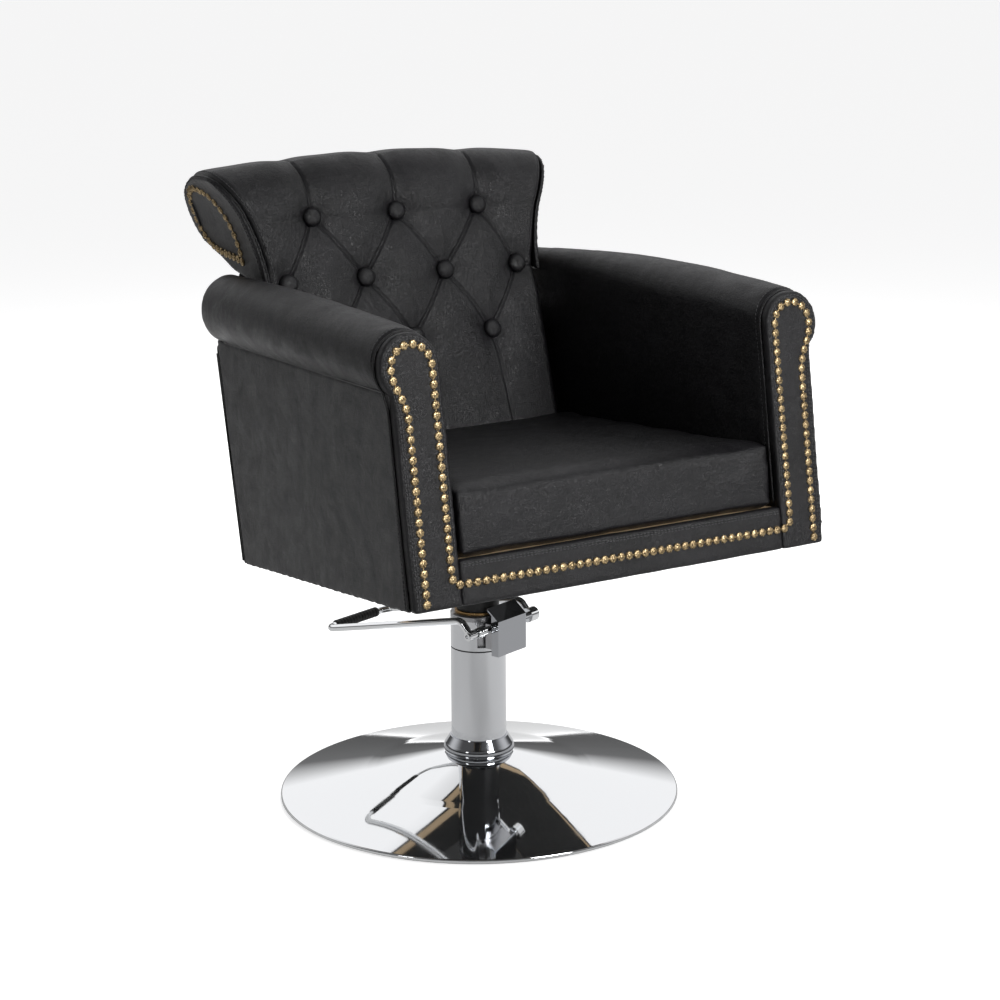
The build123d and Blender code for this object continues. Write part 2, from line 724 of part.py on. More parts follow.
# Sprung deck that carries the cushion
DECK_END = 436
with BuildPart() as seat_deck:
    with BuildSketch(tub_plan.offset(DECK_BOTTOM)):
        with BuildLine():
            Polyline(
                (inside_half(0) - 1, 0),
                (inside_half(DECK_END) - 1, DECK_END),
                (1 - inside_half(DECK_END), DECK_END),
                (1 - inside_half(0), 0),
                close=True,
            )
        make_face()
    extrude(amount=DECK_TOP - DECK_BOTTOM)
    split(bisect_by=behind_facing, keep=Keep.BOTTOM)
save(seat_deck, "seat_deck")

BACK_FRAME_HALF = 200
with BuildPart() as back_frame:
    with BuildSketch(before_outside_back):
        with Locations((0, 200)):
            Rectangle(2 * BACK_FRAME_HALF, 700)
    extrude(amount=-FRAME_THICK)
    split(bisect_by=tub_plan.offset(BOARD_THICK + GAP), keep=Keep.TOP)
    split(bisect_by=Plane.XY.offset(BACK_TOP_OF_FRAME), keep=Keep.BOTTOM)
save(back_frame, "back_frame")

# Black cloth tacked under the tub, cut out round the mounting plate
with BuildPart() as dust_cover:
    with BuildSketch(tub_plan.offset(-1.3)):
        with BuildLine():
            Polyline(
                (outside_half(20, 12), 20),
                (outside_half(515, 12), 515),
                (-outside_half(515, 12), 515),
                (-outside_half(20, 12), 20),
                close=True,
            )
        make_face()
        with Locations((0, HUB_STATION)):
            Rectangle(PLATE_SIZE[0] + 6, PLATE_SIZE[1] + 6, mode=Mode.SUBTRACT)
    extrude(amount=1)
save(dust_cover, "dust_cover")

# ---------------------------------------------------------------- tub seat: upholstery

side_panel_left = side_slab(0, lambda station: outside_half(station, SKIN_THICK), 0, GAP)
save(side_panel_left, "side_panel_left")
side_panel_right = mirrored(side_panel_left)
save(side_panel_right, "side_panel_right")

inside_pad_left = side_slab(SKIN_THICK + FRAME_THICK + 2 * GAP, inside_half, BOARD_THICK + GAP, GAP)
save(inside_pad_left, "inside_pad_left")
inside_pad_right = mirrored(inside_pad_left)
save(inside_pad_right, "inside_pad_right")


# The arm roll: its round section grows, rises and closes in towards the rear
ROLL_START = 8
ROLL_END = 566
ROLL_STATIONS = (ROLL_START, 190, 380, ROLL_END)
ROLL_RISE = 63.5
ROLL_CROWN = 20
ROLL_REAR_RADIUS = 42
ROLL_PINCH = 10  # how much slimmer the roll is halfway along
ROLL_BULGE = 14  # how much further out it stands there
ROLL_REAR_OVERHANG = 21


def roll_section(station):
    """Corner points of the roll's section: inner foot, outer foot, bulge, top, shoulder, inner head."""
    share = (station - ROLL_START) / (ROLL_END - ROLL_START)
    middle = 4 * share * (1 - share)
    radius = SCROLL_RADIUS + (ROLL_REAR_RADIUS - SCROLL_RADIUS) * share - ROLL_PINCH * middle
    overhang = SCROLL_CENTRE + SCROLL_RADIUS - SIDE_FRONT_HALF
    outermost = outside_half(station) + overhang + (ROLL_REAR_OVERHANG - overhang) * share + ROLL_BULGE * middle
    across = outermost - radius
    height = SCROLL_CENTRE_HEIGHT + ROLL_RISE * share + ROLL_CROWN * middle
    foot = tuck_height(station)
    foot_across = outside_half(station) + 0.5
    inner = inside_half(station)
    reach = across - inner
    if reach < radius:
        head = height + sqrt(radius**2 - reach**2)
        shoulder_angle = radians(90) + asin(reach / radius) / 2
        shoulder = (across + radius * cos(shoulder_angle), height + radius * sin(shoulder_angle))
    else:
        head = height
        shoulder = (across - reach * sin(radians(45)), height + radius * sin(radians(45)))
    return (
        (inner, foot),
        (foot_across, foot),
        (across + radius, height),
        (across, height + radius),
        shoulder,
        (inner, head),
    )


with BuildPart() as arm_roll_left:
    for station in ROLL_STATIONS:
        inner_foot, outer_foot, bulge, top, shoulder, inner_head = roll_section(station)
        section = Plane(
            origin=tub_plan.from_local_coords((0, station, 0)),
            x_dir=(1, 0, 0),
            z_dir=tub_plan.y_dir * -1,
        )
        with BuildSketch(section):
            with BuildLine():
                Line(inner_foot, outer_foot)
                ThreePointArc(outer_foot, bulge, top)
                ThreePointArc(top, shoulder, inner_head)
                Line(inner_head, inner_foot)
            make_face()
    loft()
    split(bisect_by=behind_facing, keep=Keep.BOTTOM)
save(arm_roll_left, "arm_roll_left")
arm_roll_right = mirrored(arm_roll_left)
save(arm_roll_right, "arm_roll_right")

# Padded facing of the arm's front end, with the scroll at its top
with BuildPart() as arm_facing_left:
    notch = sqrt(SCROLL_RADIUS**2 - (SIDE_FRONT_HALF - SCROLL_CENTRE) ** 2)
    with BuildSketch(front_face):
        with BuildLine():
            foot_edge = Line((FACING_INNER_HALF, 0), (FACING_BOTTOM_HALF, 0))
            outer_edge = Line(foot_edge @ 1, (SIDE_FRONT_HALF, SCROLL_CENTRE_HEIGHT - notch))
            scroll = ThreePointArc(
                outer_edge @ 1,
                (SCROLL_CENTRE, SCROLL_CENTRE_HEIGHT + SCROLL_RADIUS),
                (SCROLL_CENTRE - SCROLL_RADIUS, SCROLL_CENTRE_HEIGHT),
            )
            Line(scroll @ 1, foot_edge @ 0)
        make_face()
    extrude(amount=-FACING_THICK)
save(arm_facing_left, "arm_facing_left")
arm_facing_right = mirrored(arm_facing_left)
save(arm_facing_right, "arm_facing_right")

with BuildPart() as front_rail:
    with BuildSketch(front_face):
        with Locations((0, RAIL_HEIGHT / 2)):
            Rectangle(2 * (FACING_INNER_HALF - GAP), RAIL_HEIGHT)
    extrude(amount=-FACING_THICK)
save(front_rail, "front_rail")

# Boxed seat cushion, a little thicker at the back
CUSHION_FRONT = 4
CUSHION_FRONT_TOP = 135
CUSHION_REAR = 441
CUSHION_REAR_TOP_STATION = 458
CUSHION_REAR_TOP = 158
CUSHION_SIDE_GAP = 5
with BuildPart() as seat_cushion:
    with BuildSketch(tub_side.offset(-INSIDE_FRONT_HALF)):
        with BuildLine():
            FilletPolyline(
                (CUSHION_FRONT, RAIL_HEIGHT + 0.5),
                (CUSHION_FRONT + 1, CUSHION_FRONT_TOP),
                (CUSHION_REAR_TOP_STATION, CUSHION_REAR_TOP),
                (CUSHION_REAR, RAIL_HEIGHT + 0.5),
                radius=8,
                close=True,
            )
        make_face()
    extrude(amount=2 * INSIDE_FRONT_HALF)
    with BuildSketch(tub_plan):
        with BuildLine():
            far = TUB_LENGTH
            Polyline(
                (inside_half(0) - CUSHION_SIDE_GAP, 0),
                (inside_half(far) - CUSHION_SIDE_GAP, far),
                (CUSHION_SIDE_GAP - inside_half(far), far),
                (CUSHION_SIDE_GAP - inside_half(0), 0),
                close=True,
            )
        make_face()
    extrude(amount=300, mode=Mode.INTERSECT)
save(seat_cushion, "seat_cushion")

# ---------------------------------------------------------------- seat back

back_sin = sin(radians(BACK_LEAN))
back_cos = cos(radians(BACK_LEAN))
back_out = (0, -back_cos, back_sin)
back_face = Plane(origin=(0, BACK_FOOT, BACK_FOOT_HEIGHT), x_dir=(1, 0, 0), z_dir=back_out)
BACK_HALF = 290
BACK_STATIONS = 5


def crest_rise(across):
    """How much higher the crest is at a distance from the middle than at its ends."""
    return CREST_RISE * (1 - (across / CREST_HALF) ** 2)


def raised(point, rise):
    """A point of the head's outline, lifted by the crest's rise."""
    return (point[0], point[1] + rise)


def back_block():
    """The whole back before its sides are cut: sloping front, head rolled over to the rear, hollow below."""
    with BuildPart() as block:
        for index in range(BACK_STATIONS):
            across = BACK_HALF * (2 * index / (BACK_STATIONS - 1) - 1)
            rise = crest_rise(across)
            head_start = (BACK_FOOT + FACE_LENGTH * back_sin, BACK_FOOT_HEIGHT + FACE_LENGTH * back_cos)
            with BuildSketch(Plane.YZ.offset(across)):
                with BuildLine():
                    front = Line((BACK_FOOT, BACK_FOOT_HEIGHT), head_start)
                    brow = ThreePointArc(front @ 1, raised(BROW, rise / 2), raised(CREST_FRONT, rise))
                    crest = ThreePointArc(brow @ 1, raised(CREST_BACK, rise), raised(ROLL_SHOULDER, rise))
                    under = raised(ROLL_UNDER, rise * ROLL_UNDER_SHARE)
                    roll = ThreePointArc(crest @ 1, raised(ROLL_REAR, rise), under)
                    Polyline(roll @ 1, HOLLOW, SHELF, REAR_BOTTOM, front @ 0)
                make_face()
        loft()
    return block


def flare(inset):
    """A wide slab cut to the back's front outline: straight up to the waist, then flaring to the crest."""
    with BuildPart() as slab:
        with BuildSketch(Plane.XZ.offset(-500)):
            with BuildLine():
                waist = Line((WAIST_HALF - inset, 300), (WAIST_HALF - inset, WAIST_HEIGHT))
                wing = TangentArc(waist @ 1, (CREST_HALF - inset, CREST_HEIGHT), tangent=(0, 1))
                edge = Line(wing @ 1, (CREST_HALF - inset + 25, CREST_HEIGHT + 32))
                over = Line(edge @ 1, (0, CREST_HEIGHT + 32))
                middle = Line(over @ 1, (0, 300))
                Line(middle @ 1, waist @ 0)
            make_face()
            mirror(about=Plane.YZ)
        extrude(amount=500)
    return slab


# Where the covered buttons are drawn in: distance across and up the sloping face
BUTTON_ROWS = (
    (434, (-131.6, 0, 131.6)),
    (346, (-182, -63, 63, 182)),
    (257, (-125, 0, 125)),
)
button_places = [
    (across, up)
    for up, row in BUTTON_ROWS
    for across in row
]

WING_THICK = 6
whole_back = back_block()

with BuildPart() as back_cushion:
    add(whole_back.part)
    add(flare(WING_THICK + GAP).part, mode=Mode.INTERSECT)
    for place in button_places:
        with BuildSketch(back_face.offset(-BUTTON_DEPTH)):
            with Locations(place):
                Circle(BUTTON_RADIUS + 1)
        extrude(amount=BUTTON_DEPTH + 20, taper=-35, mode=Mode.SUBTRACT)
save(back_cushion, "back_cushion")

# One covered button, flat behind and domed in front
BUTTON_SIDE = 2.5
BUTTON_DOME = 6
button_sphere = (BUTTON_RADIUS**2 + BUTTON_DOME**2) / (2 * BUTTON_DOME)
button_drop = button_sphere - BUTTON_DOME
button_tilt = degrees(asin(button_drop / button_sphere))
with BuildPart() as button:
    with BuildSketch(Plane.XZ):
        with BuildLine():
            base = Line((0, 0), (BUTTON_RADIUS, 0))
            side = Line(base @ 1, (BUTTON_RADIUS, BUTTON_SIDE))
            dome = CenterArc((0, BUTTON_SIDE - button_drop), button_sphere, button_tilt, 90 - button_tilt)
            Line(dome @ 1, base @ 0)
        make_face()
    revolve(axis=Axis.Z)

button_seat = back_face.offset(-BUTTON_DEPTH)
with BuildPart() as back_buttons:
    for place in button_places:
        with Locations(Plane(button_seat.from_local_coords(place), z_dir=button_seat.z_dir).location):
            add(button.part)
save(back_buttons, "back_buttons")

# Teardrop end panels of the rolled head
with BuildPart() as wing_panel_left:
    add(whole_back.part)
    add(flare(0).part, mode=Mode.INTERSECT)
    add(flare(WING_THICK).part, mode=Mode.SUBTRACT)
    split(bisect_by=Plane.YZ, keep=Keep.TOP)
    split(bisect_by=Plane.XY.offset(WAIST_HEIGHT), keep=Keep.TOP)
save(wing_panel_left, "wing_panel_left")
wing_panel_right = mirrored(wing_panel_left)
save(wing_panel_right, "wing_panel_right")

# Outside back: flat upholstered panel, narrower above the ends of the arm rolls
OUTSIDE_BACK_LOW = 298
OUTSIDE_BACK_TOP = 392
with BuildPart() as outside_back:
    with BuildSketch(rear_face):
        with BuildLine():
            foot_half = outside_half(539)
            shoulder_half = outside_half(573)
            neck_half = WAIST_HALF
            Polyline(
                (-foot_half, -20),
                (foot_half, -20),
                (shoulder_half, OUTSIDE_BACK_LOW),
                (neck_half, OUTSIDE_BACK_LOW),
                (neck_half, OUTSIDE_BACK_TOP),
                (-neck_half, OUTSIDE_BACK_TOP),
                (-neck_half, OUTSIDE_BACK_LOW),
                (-shoulder_half, OUTSIDE_BACK_LOW),
                close=True,
            )
        make_face()
    extrude(amount=-SKIN_THICK)
    split(bisect_by=tub_plan, keep=Keep.TOP)
save(outside_back, "outside_back")

# ---------------------------------------------------------------- decorative nails

NAIL_RIM = 0.6
NAIL_DOME = 2.4
nail_sphere = (NAIL_RADIUS**2 + NAIL_DOME**2) / (2 * NAIL_DOME)
nail_drop = nail_sphere - NAIL_DOME
nail_tilt = degrees(asin(nail_drop / nail_sphere))
with BuildPart() as nail:
    with BuildSketch(Plane.XZ):
        with BuildLine():
            base = Line((0, 0), (NAIL_RADIUS, 0))
            rim = Line(base @ 1, (NAIL_RADIUS, NAIL_RIM))
            dome = CenterArc((0, NAIL_RIM - nail_drop), nail_sphere, nail_tilt, 90 - nail_tilt)
            Line(dome @ 1, base @ 0)
        make_face()
    revolve(axis=Axis.Z)

NAIL_OUTER = 289
NAIL_INNER = 252.5
NAIL_FOOT = 9
NAIL_RAIL_HEIGHT = 26
NAIL_SCROLL_RADIUS = 26.5
NAIL_CORNER = 12
nail_loop_end = SCROLL_CENTRE + NAIL_SCROLL_RADIUS

# Half of the row: up the outside of the facing, over its scroll, down the inside and along the rail
with BuildLine() as nail_line:
    outer_row = Line((NAIL_OUTER, NAIL_FOOT), (NAIL_OUTER + 1, 222))
    sway = Spline(
        outer_row @ 1,
        (298, 254),
        (nail_loop_end, SCROLL_CENTRE_HEIGHT),
        tangents=[(0, 1), (0, 1)],
    )
    over = ThreePointArc(
        sway @ 1,
        (SCROLL_CENTRE, SCROLL_CENTRE_HEIGHT + NAIL_SCROLL_RADIUS),
        (NAIL_INNER, SCROLL_CENTRE_HEIGHT),
    )
    FilletPolyline(
        over @ 1,
        (NAIL_INNER, NAIL_RAIL_HEIGHT),
        (0, NAIL_RAIL_HEIGHT),
        radius=NAIL_CORNER,
    )
nail_wire = Wire(nail_line.edges())


half_gaps = round(nail_wire.length / NAIL_PITCH)
nail_spots = []
for index in range(half_gaps + 1):
    spot = nail_wire.position_at(index / half_gaps)
    for side in (1, -1) if spot.X > 1 else (1,):
        point = front_face.from_local_coords((side * spot.X, spot.Y, 0))
        nail_spots.append(Plane(point, z_dir=front_face.z_dir).location)
with BuildPart() as facing_nails:
    with Locations(*nail_spots):
        add(nail.part)
save(facing_nails, "facing_nails")

# Teardrop loop of nails on each wing panel: outline in depth and height, set on the flared surface
with BuildLine() as wing_line:
    front_row = Spline((243, 727), (251, 768), (272, 806), (306, 820))
    tip = ThreePointArc(front_row @ 1, (352, 806), (362, 777))
    Spline(tip @ 1, (340, 746), (300, 734), front_row @ 0)
wing_wire = Wire(wing_line.edges())


def flare_half(height):
    """Half width of the flared back at a height, on the arc through its three defining points."""
    rise = height - WAIST_HEIGHT
    return WAIST_HALF + FLARE_RADIUS - sqrt(FLARE_RADIUS**2 - rise**2)


wing_gaps = round(wing_wire.length / NAIL_PITCH)
wing_spots = []
for index in range(wing_gaps):
    spot = wing_wire.position_at(index / wing_gaps)
    slope = (flare_half(spot.Y + 1) - flare_half(spot.Y - 1)) / 2
    for side in (1, -1):
        point = (side * (flare_half(spot.Y) + 0.1), spot.X, spot.Y)
        wing_spots.append(Plane(point, z_dir=(side, 0, -slope)).location)
with BuildPart() as wing_nails:
    with Locations(*wing_spots):
        add(nail.part)
save(wing_nails, "wing_nails")
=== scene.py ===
import json
from math import atan2, cos, exp, pi, radians, sin, sqrt

import bmesh
import bpy
from mathutils import Matrix, Vector, noise
from mathutils.bvhtree import BVHTree
from mathutils.geometry import intersect_point_line


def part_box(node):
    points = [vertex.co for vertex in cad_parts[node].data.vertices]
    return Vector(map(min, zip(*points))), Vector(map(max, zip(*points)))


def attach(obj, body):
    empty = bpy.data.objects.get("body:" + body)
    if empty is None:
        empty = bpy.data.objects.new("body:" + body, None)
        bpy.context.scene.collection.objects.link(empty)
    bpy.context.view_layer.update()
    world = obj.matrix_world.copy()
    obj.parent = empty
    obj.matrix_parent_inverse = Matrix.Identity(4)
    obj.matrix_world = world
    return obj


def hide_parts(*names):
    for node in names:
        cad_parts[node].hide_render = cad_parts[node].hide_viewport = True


# Looks of the styling chair: leatherette upholstery, chrome, antique nails. Metres, in the CAD model's frame:
# the base stands at the origin, the chair faces -Y and +X is on the sitter's left.

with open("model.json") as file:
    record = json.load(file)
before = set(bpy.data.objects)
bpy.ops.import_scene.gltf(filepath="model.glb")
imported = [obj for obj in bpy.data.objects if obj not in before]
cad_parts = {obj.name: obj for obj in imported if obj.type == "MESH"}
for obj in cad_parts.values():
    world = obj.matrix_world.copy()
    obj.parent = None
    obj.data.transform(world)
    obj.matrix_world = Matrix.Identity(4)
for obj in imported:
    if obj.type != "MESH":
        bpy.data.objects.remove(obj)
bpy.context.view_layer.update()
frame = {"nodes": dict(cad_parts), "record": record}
nodes = frame["nodes"]
scene = bpy.context.scene

# The tub is pitched back about its front bottom edge, and its front faces lean back a little more
TUB_ORIGIN = Vector((0, -0.360, 0.3915))
TUB_PITCH = radians(7)
FRONT_LEAN = radians(9.2)
FRONT_UP = Vector((0, sin(FRONT_LEAN), cos(FRONT_LEAN)))
FRONT_OUT = Vector((0, -cos(FRONT_LEAN), sin(FRONT_LEAN)))
TUB_BACK = Vector((0, cos(TUB_PITCH), -sin(TUB_PITCH)))
TUB_UP = Vector((0, sin(TUB_PITCH), cos(TUB_PITCH)))


def on_front(across, up, out=0.0):
    """A point of the tub's front plane, in the model's frame."""
    return TUB_ORIGIN + Vector((across, 0, 0)) + FRONT_UP * up + FRONT_OUT * out


def in_tub(across, station, height):
    """A point of the tub: across, back along its bottom and square up from it."""
    return TUB_ORIGIN + Vector((across, 0, 0)) + TUB_BACK * station + TUB_UP * height


# ---------------------------------------------------------------- materials


class Material:
    """A procedural material with a Principled shader, and short ways to add nodes to it."""

    def __init__(self, name, **values):
        self.material = bpy.data.materials.new(name)
        self.material.use_nodes = True
        self.tree = self.material.node_tree
        self.shader = self.tree.nodes["Principled BSDF"]
        for key, value in values.items():
            self.shader.inputs[key].default_value = value
        self.place = self.add("ShaderNodeTexCoord").outputs["Object"]

    def add(self, kind, **inputs):
        node = self.tree.nodes.new(kind)
        for key, value in inputs.items():
            socket = node.inputs[key.replace("_", " ")]
            if isinstance(value, bpy.types.NodeSocket):
                self.tree.links.new(value, socket)
            else:
                socket.default_value = value
        return node

    def noise(self, scale, detail=3.0, rough=0.5, stretch=(1, 1, 1)):
        """Fractal noise from 0 to 1 in object space."""
        mapping = self.add("ShaderNodeMapping", Vector=self.place, Scale=stretch)
        node = self.add(
            "ShaderNodeTexNoise",
            Vector=mapping.outputs["Vector"],
            Scale=scale,
            Detail=detail,
            Roughness=rough,
        )
        return node.outputs["Fac"]

    def cells(self, scale):
        """Distance to the edges of small cells, as between the grains of a hide."""
        node = self.tree.nodes.new("ShaderNodeTexVoronoi")
        node.feature = "DISTANCE_TO_EDGE"
        node.inputs["Scale"].default_value = scale
        self.tree.links.new(self.place, node.inputs["Vector"])
        return node.outputs["Distance"]

    def remap(self, value, low, high, start=0.0, end=1.0):
        node = self.tree.nodes.new("ShaderNodeMapRange")
        self.tree.links.new(value, node.inputs["Value"])
        node.inputs["From Min"].default_value = start
        node.inputs["From Max"].default_value = end
        node.inputs["To Min"].default_value = low
        node.inputs["To Max"].default_value = high
        return node.outputs["Result"]

    def mix(self, factor, first, second):
        """A colour between two colours."""
        node = self.tree.nodes.new("ShaderNodeMix")
        node.data_type = "RGBA"
        self.tree.links.new(factor, node.inputs["Factor"])
        for socket, value in ((node.inputs[6], first), (node.inputs[7], second)):
            if isinstance(value, bpy.types.NodeSocket):
                self.tree.links.new(value, socket)
            else:
                socket.default_value = value
        return node.outputs[2]

    def bump(self, height, distance, strength=1.0, under=None):
        node = self.add("ShaderNodeBump", Height=height, Distance=distance, Strength=strength)
        if under is not None:
            self.tree.links.new(under, node.inputs["Normal"])
        return node.outputs["Normal"]

    def feed(self, socket, value):
        self.tree.links.new(value, self.shader.inputs[socket])


def leather_material(name, tone, rough_low, rough_high):
    """Semi-matt leatherette: fine pebble grain, soft handling marks and slight colour drift."""
    made = Material(name, **{"Specular IOR Level": 0.36})
    drift = made.noise(11, detail=6, rough=0.62)
    lighter = tuple(channel * 2.6 for channel in tone)
    made.feed("Base Color", made.mix(made.remap(drift, 0, 1, 0.35, 0.75), (*tone, 1), (*lighter, 1)))
    scuffs = made.noise(38, detail=6, rough=0.65)
    made.feed("Roughness", made.remap(scuffs, rough_low, rough_high, 0.3, 0.7))
    grain = made.bump(made.remap(made.cells(620), 0, 1, 0, 0.25), 0.0003, 0.7)
    pores = made.bump(made.noise(1500, detail=2), 0.00012, 0.4, under=grain)
    creases = made.bump(made.noise(26, detail=7, rough=0.68, stretch=(1, 0.6, 1)), 0.0035, 0.6, under=pores)
    made.feed("Normal", creases)
    return made.material


def chrome_material(name, tone, rough_low, rough_high):
    """Polished plate with faint wipe marks."""
    made = Material(name, **{"Base Color": (*tone, 1), "Metallic": 1.0})
    wipes = made.noise(14, detail=5, rough=0.6, stretch=(1, 1, 0.3))
    made.feed("Roughness", made.remap(wipes, rough_low, rough_high, 0.3, 0.75))
    made.feed("Normal", made.bump(made.noise(5, detail=1), 0.0006, 0.12))
    return made.material


def plain_material(name, tone, rough, metallic=0.0, grain=900, depth=0.0001, spread=1.4):
    """Rubber, plastic, painted or machined metal: slight mottling and a fine surface."""
    made = Material(name, Metallic=metallic)
    lighter = tuple(min(channel * spread, 1) for channel in tone)
    made.feed("Base Color", made.mix(made.noise(60, detail=4), (*tone, 1), (*lighter, 1)))
    made.feed("Roughness", made.remap(made.noise(120, detail=4), rough * 0.85, rough * 1.15))
    made.feed("Normal", made.bump(made.noise(grain, detail=2), depth, 0.5))
    return made.material


def brass_material():
    """Antiqued brass: bright on the domes, brown in the hollows and between nails."""
    made = Material("antique_brass", Metallic=1.0)
    patina = made.noise(420, detail=4, rough=0.7)
    made.feed(
        "Base Color",
        made.mix(made.remap(patina, 0, 1, 0.38, 0.62), (0.04, 0.025, 0.012, 1), (0.66, 0.50, 0.28, 1)),
    )
    made.feed("Roughness", made.remap(patina, 0.6, 0.34, 0.35, 0.65))
    made.feed("Normal", made.bump(made.noise(700, detail=2), 0.0002, 0.5))
    return made.material


def wood_material():
    """Raw birch plywood, with its plies across the board."""
    made = Material("plywood")
    plies = made.noise(90, detail=3, stretch=(0.15, 0.15, 6))
    made.feed("Base Color", made.mix(plies, (0.52, 0.36, 0.2, 1), (0.72, 0.55, 0.35, 1)))
    made.feed("Roughness", made.remap(plies, 0.5, 0.75))
    made.feed("Normal", made.bump(plies, 0.0003, 0.4))
    return made.material


LEATHER = leather_material("black_leather", (0.0036, 0.0034, 0.0041), 0.29, 0.46)
PIPING = leather_material("piping_leather", (0.0032, 0.0031, 0.0036), 0.3, 0.4)
THREAD = plain_material("black_thread", (0.05, 0.05, 0.052), 0.6, grain=2500)
CHROME = chrome_material("chrome", (0.86, 0.87, 0.88), 0.02, 0.07)
COLUMN_CHROME = chrome_material("column_chrome", (0.72, 0.73, 0.75), 0.05, 0.12)
DARK_CHROME = chrome_material("dark_chrome", (0.42, 0.43, 0.45), 0.05, 0.12)
BRASS = brass_material()
SLOT_MATERIALS = {
    "chrome": CHROME,
    "machined_steel": plain_material("machined_steel", (0.36, 0.36, 0.37), 0.3, metallic=1.0),
    "black_steel": plain_material("black_steel", (0.02, 0.02, 0.02), 0.45),
    "black_rubber": plain_material("black_rubber", (0.012, 0.012, 0.012), 0.6, depth=0.0003),
    "black_plastic": plain_material("black_plastic", (0.015, 0.015, 0.015), 0.4),
    "bronze": plain_material("bronze", (0.45, 0.28, 0.12), 0.35, metallic=1.0),
    "plywood": wood_material(),
    "black_cloth": plain_material("black_cloth", (0.012, 0.012, 0.012), 0.9, grain=1500, depth=0.0004),
    "black_leather": LEATHER,
    "antique_brass": BRASS,
}


def paint(piece, material):
    piece.data.materials.clear()
    piece.data.materials.append(material)


for part in frame["record"]["subparts"]:
    paint(nodes[part["node"]], SLOT_MATERIALS[part["material_slot"]])

for node in ("outer_tube", "head_casing"):
    paint(nodes[node], COLUMN_CHROME)
for node in ("collar_ring", "block_cover"):
    paint(nodes[node], DARK_CHROME)

# ---------------------------------------------------------------- building pieces


def new_piece(name, vertices, faces, material, body):
    """A mesh piece that rides on a body and is painted with the material it is given."""
    mesh = bpy.data.meshes.new(name)
    mesh.from_pydata([tuple(vertex) for vertex in vertices], [], faces)
    mesh.update()
    piece = bpy.data.objects.new(name, mesh)
    scene.collection.objects.link(piece)
    paint(piece, material)
    mesh.shade_smooth()
    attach(piece, body)
    return piece


def apply_modifiers(piece):
    """Replace a piece's mesh with what its modifiers make of it."""
    graph = bpy.context.evaluated_depsgraph_get()
    made = bpy.data.meshes.new_from_object(piece.evaluated_get(graph))
    piece.modifiers.clear()
    piece.data = made


def add_modifier(piece, kind, **settings):
    modifier = piece.modifiers.new(kind.lower(), kind)
    for key, value in settings.items():
        setattr(modifier, key, value)
    return modifier


def shift_points(piece, move):
    """Move every vertex by what move(point, normal) returns."""
    mesh = piece.data
    normals = [vertex.normal.copy() for vertex in mesh.vertices]
    for vertex, normal in zip(mesh.vertices, normals):
        vertex.co += move(vertex.co, normal)
    mesh.update()


def inflate(piece, pressure, cap, frames=20):
    """Blow a closed mesh up a little as cloth, with no point moving further than cap."""
    start = [vertex.co.copy() for vertex in piece.data.vertices]
    cloth = add_modifier(piece, "CLOTH")
    cloth.settings.use_pressure = True
    cloth.settings.uniform_pressure_force = pressure
    cloth.settings.effector_weights.gravity = 0
    cloth.settings.quality = 4
    cloth.settings.tension_stiffness = 20
    cloth.settings.compression_stiffness = 20
    cloth.settings.bending_stiffness = 0.5
    cloth.collision_settings.use_collision = False
    for step in range(1, frames + 1):
        scene.frame_set(step)
    apply_modifiers(piece)
    for vertex, origin in zip(piece.data.vertices, start):
        step = vertex.co - origin
        if step.length > cap:
            vertex.co = origin + step * (cap / step.length)
    scene.frame_set(1)


def upholster(name, *covered, voxel, rounds, wrinkle, grow=0.0, pressure=0.0, cap=0.0, fill=0.6, finer=0):
    """A padded leather piece grown from the CAD solids of some nodes, softened, swollen and wrinkled."""
    bm = bmesh.new()
    for node in covered:
        bm.from_mesh(nodes[node].data)
    mesh = bpy.data.meshes.new(name)
    bm.to_mesh(mesh)
    bm.free()
    piece = bpy.data.objects.new(name, mesh)
    scene.collection.objects.link(piece)
    add_modifier(piece, "REMESH", mode="VOXEL", voxel_size=voxel)
    add_modifier(piece, "SMOOTH", factor=0.5, iterations=rounds)
    apply_modifiers(piece)
    if pressure:
        inflate(piece, pressure, cap)
    if finer:
        add_modifier(piece, "SUBSURF", levels=finer)
        apply_modifiers(piece)
    if grow:
        shift_points(piece, lambda point, normal: normal * grow)
    shift_points(piece, wrinkle)
    piece.data.shade_smooth()
    paint(piece, LEATHER)
    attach(piece, "seat")
    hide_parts(*covered)


def tube_mesh(points, radius, sides=8):
    """Vertices and faces of a round tube along a list of points."""
    count = len(points)
    vertices = []
    faces = []
    normal = Vector((0, 0, 1))
    for index, point in enumerate(points):
        after = points[min(index + 1, count - 1)]
        before = points[max(index - 1, 0)]
        along = (after - before).normalized()
        normal = (normal - along * normal.dot(along)).normalized()
        if normal.length < 0.5:
            normal = along.orthogonal().normalized()
        side = along.cross(normal)
        for turn in range(sides):
            angle = 2 * pi * turn / sides
            vertices.append(point + (normal * cos(angle) + side * sin(angle)) * radius)
    for index in range(count - 1):
        for turn in range(sides):
            a = index * sides + turn
            b = index * sides + (turn + 1) % sides
            faces.append((a, b, b + sides, a + sides))
    faces.append(tuple(reversed(range(sides))))
    faces.append(tuple(range((count - 1) * sides, count * sides)))
    return vertices, faces


def joined(meshes):
    """Several (vertices, faces) put together."""
    vertices = []
    faces = []
    for some_vertices, some_faces in meshes:
        base = len(vertices)
        vertices.extend(some_vertices)
        faces.extend(tuple(base + corner for corner in face) for face in some_faces)
    return vertices, faces


def arc_points(centre, radius, start, end, count):
    """Points of a flat arc, in degrees."""
    angles = [radians(start + (end - start) * index / count) for index in range(count + 1)]
    return [(centre[0] + radius * cos(angle), centre[1] + radius * sin(angle)) for angle in angles]


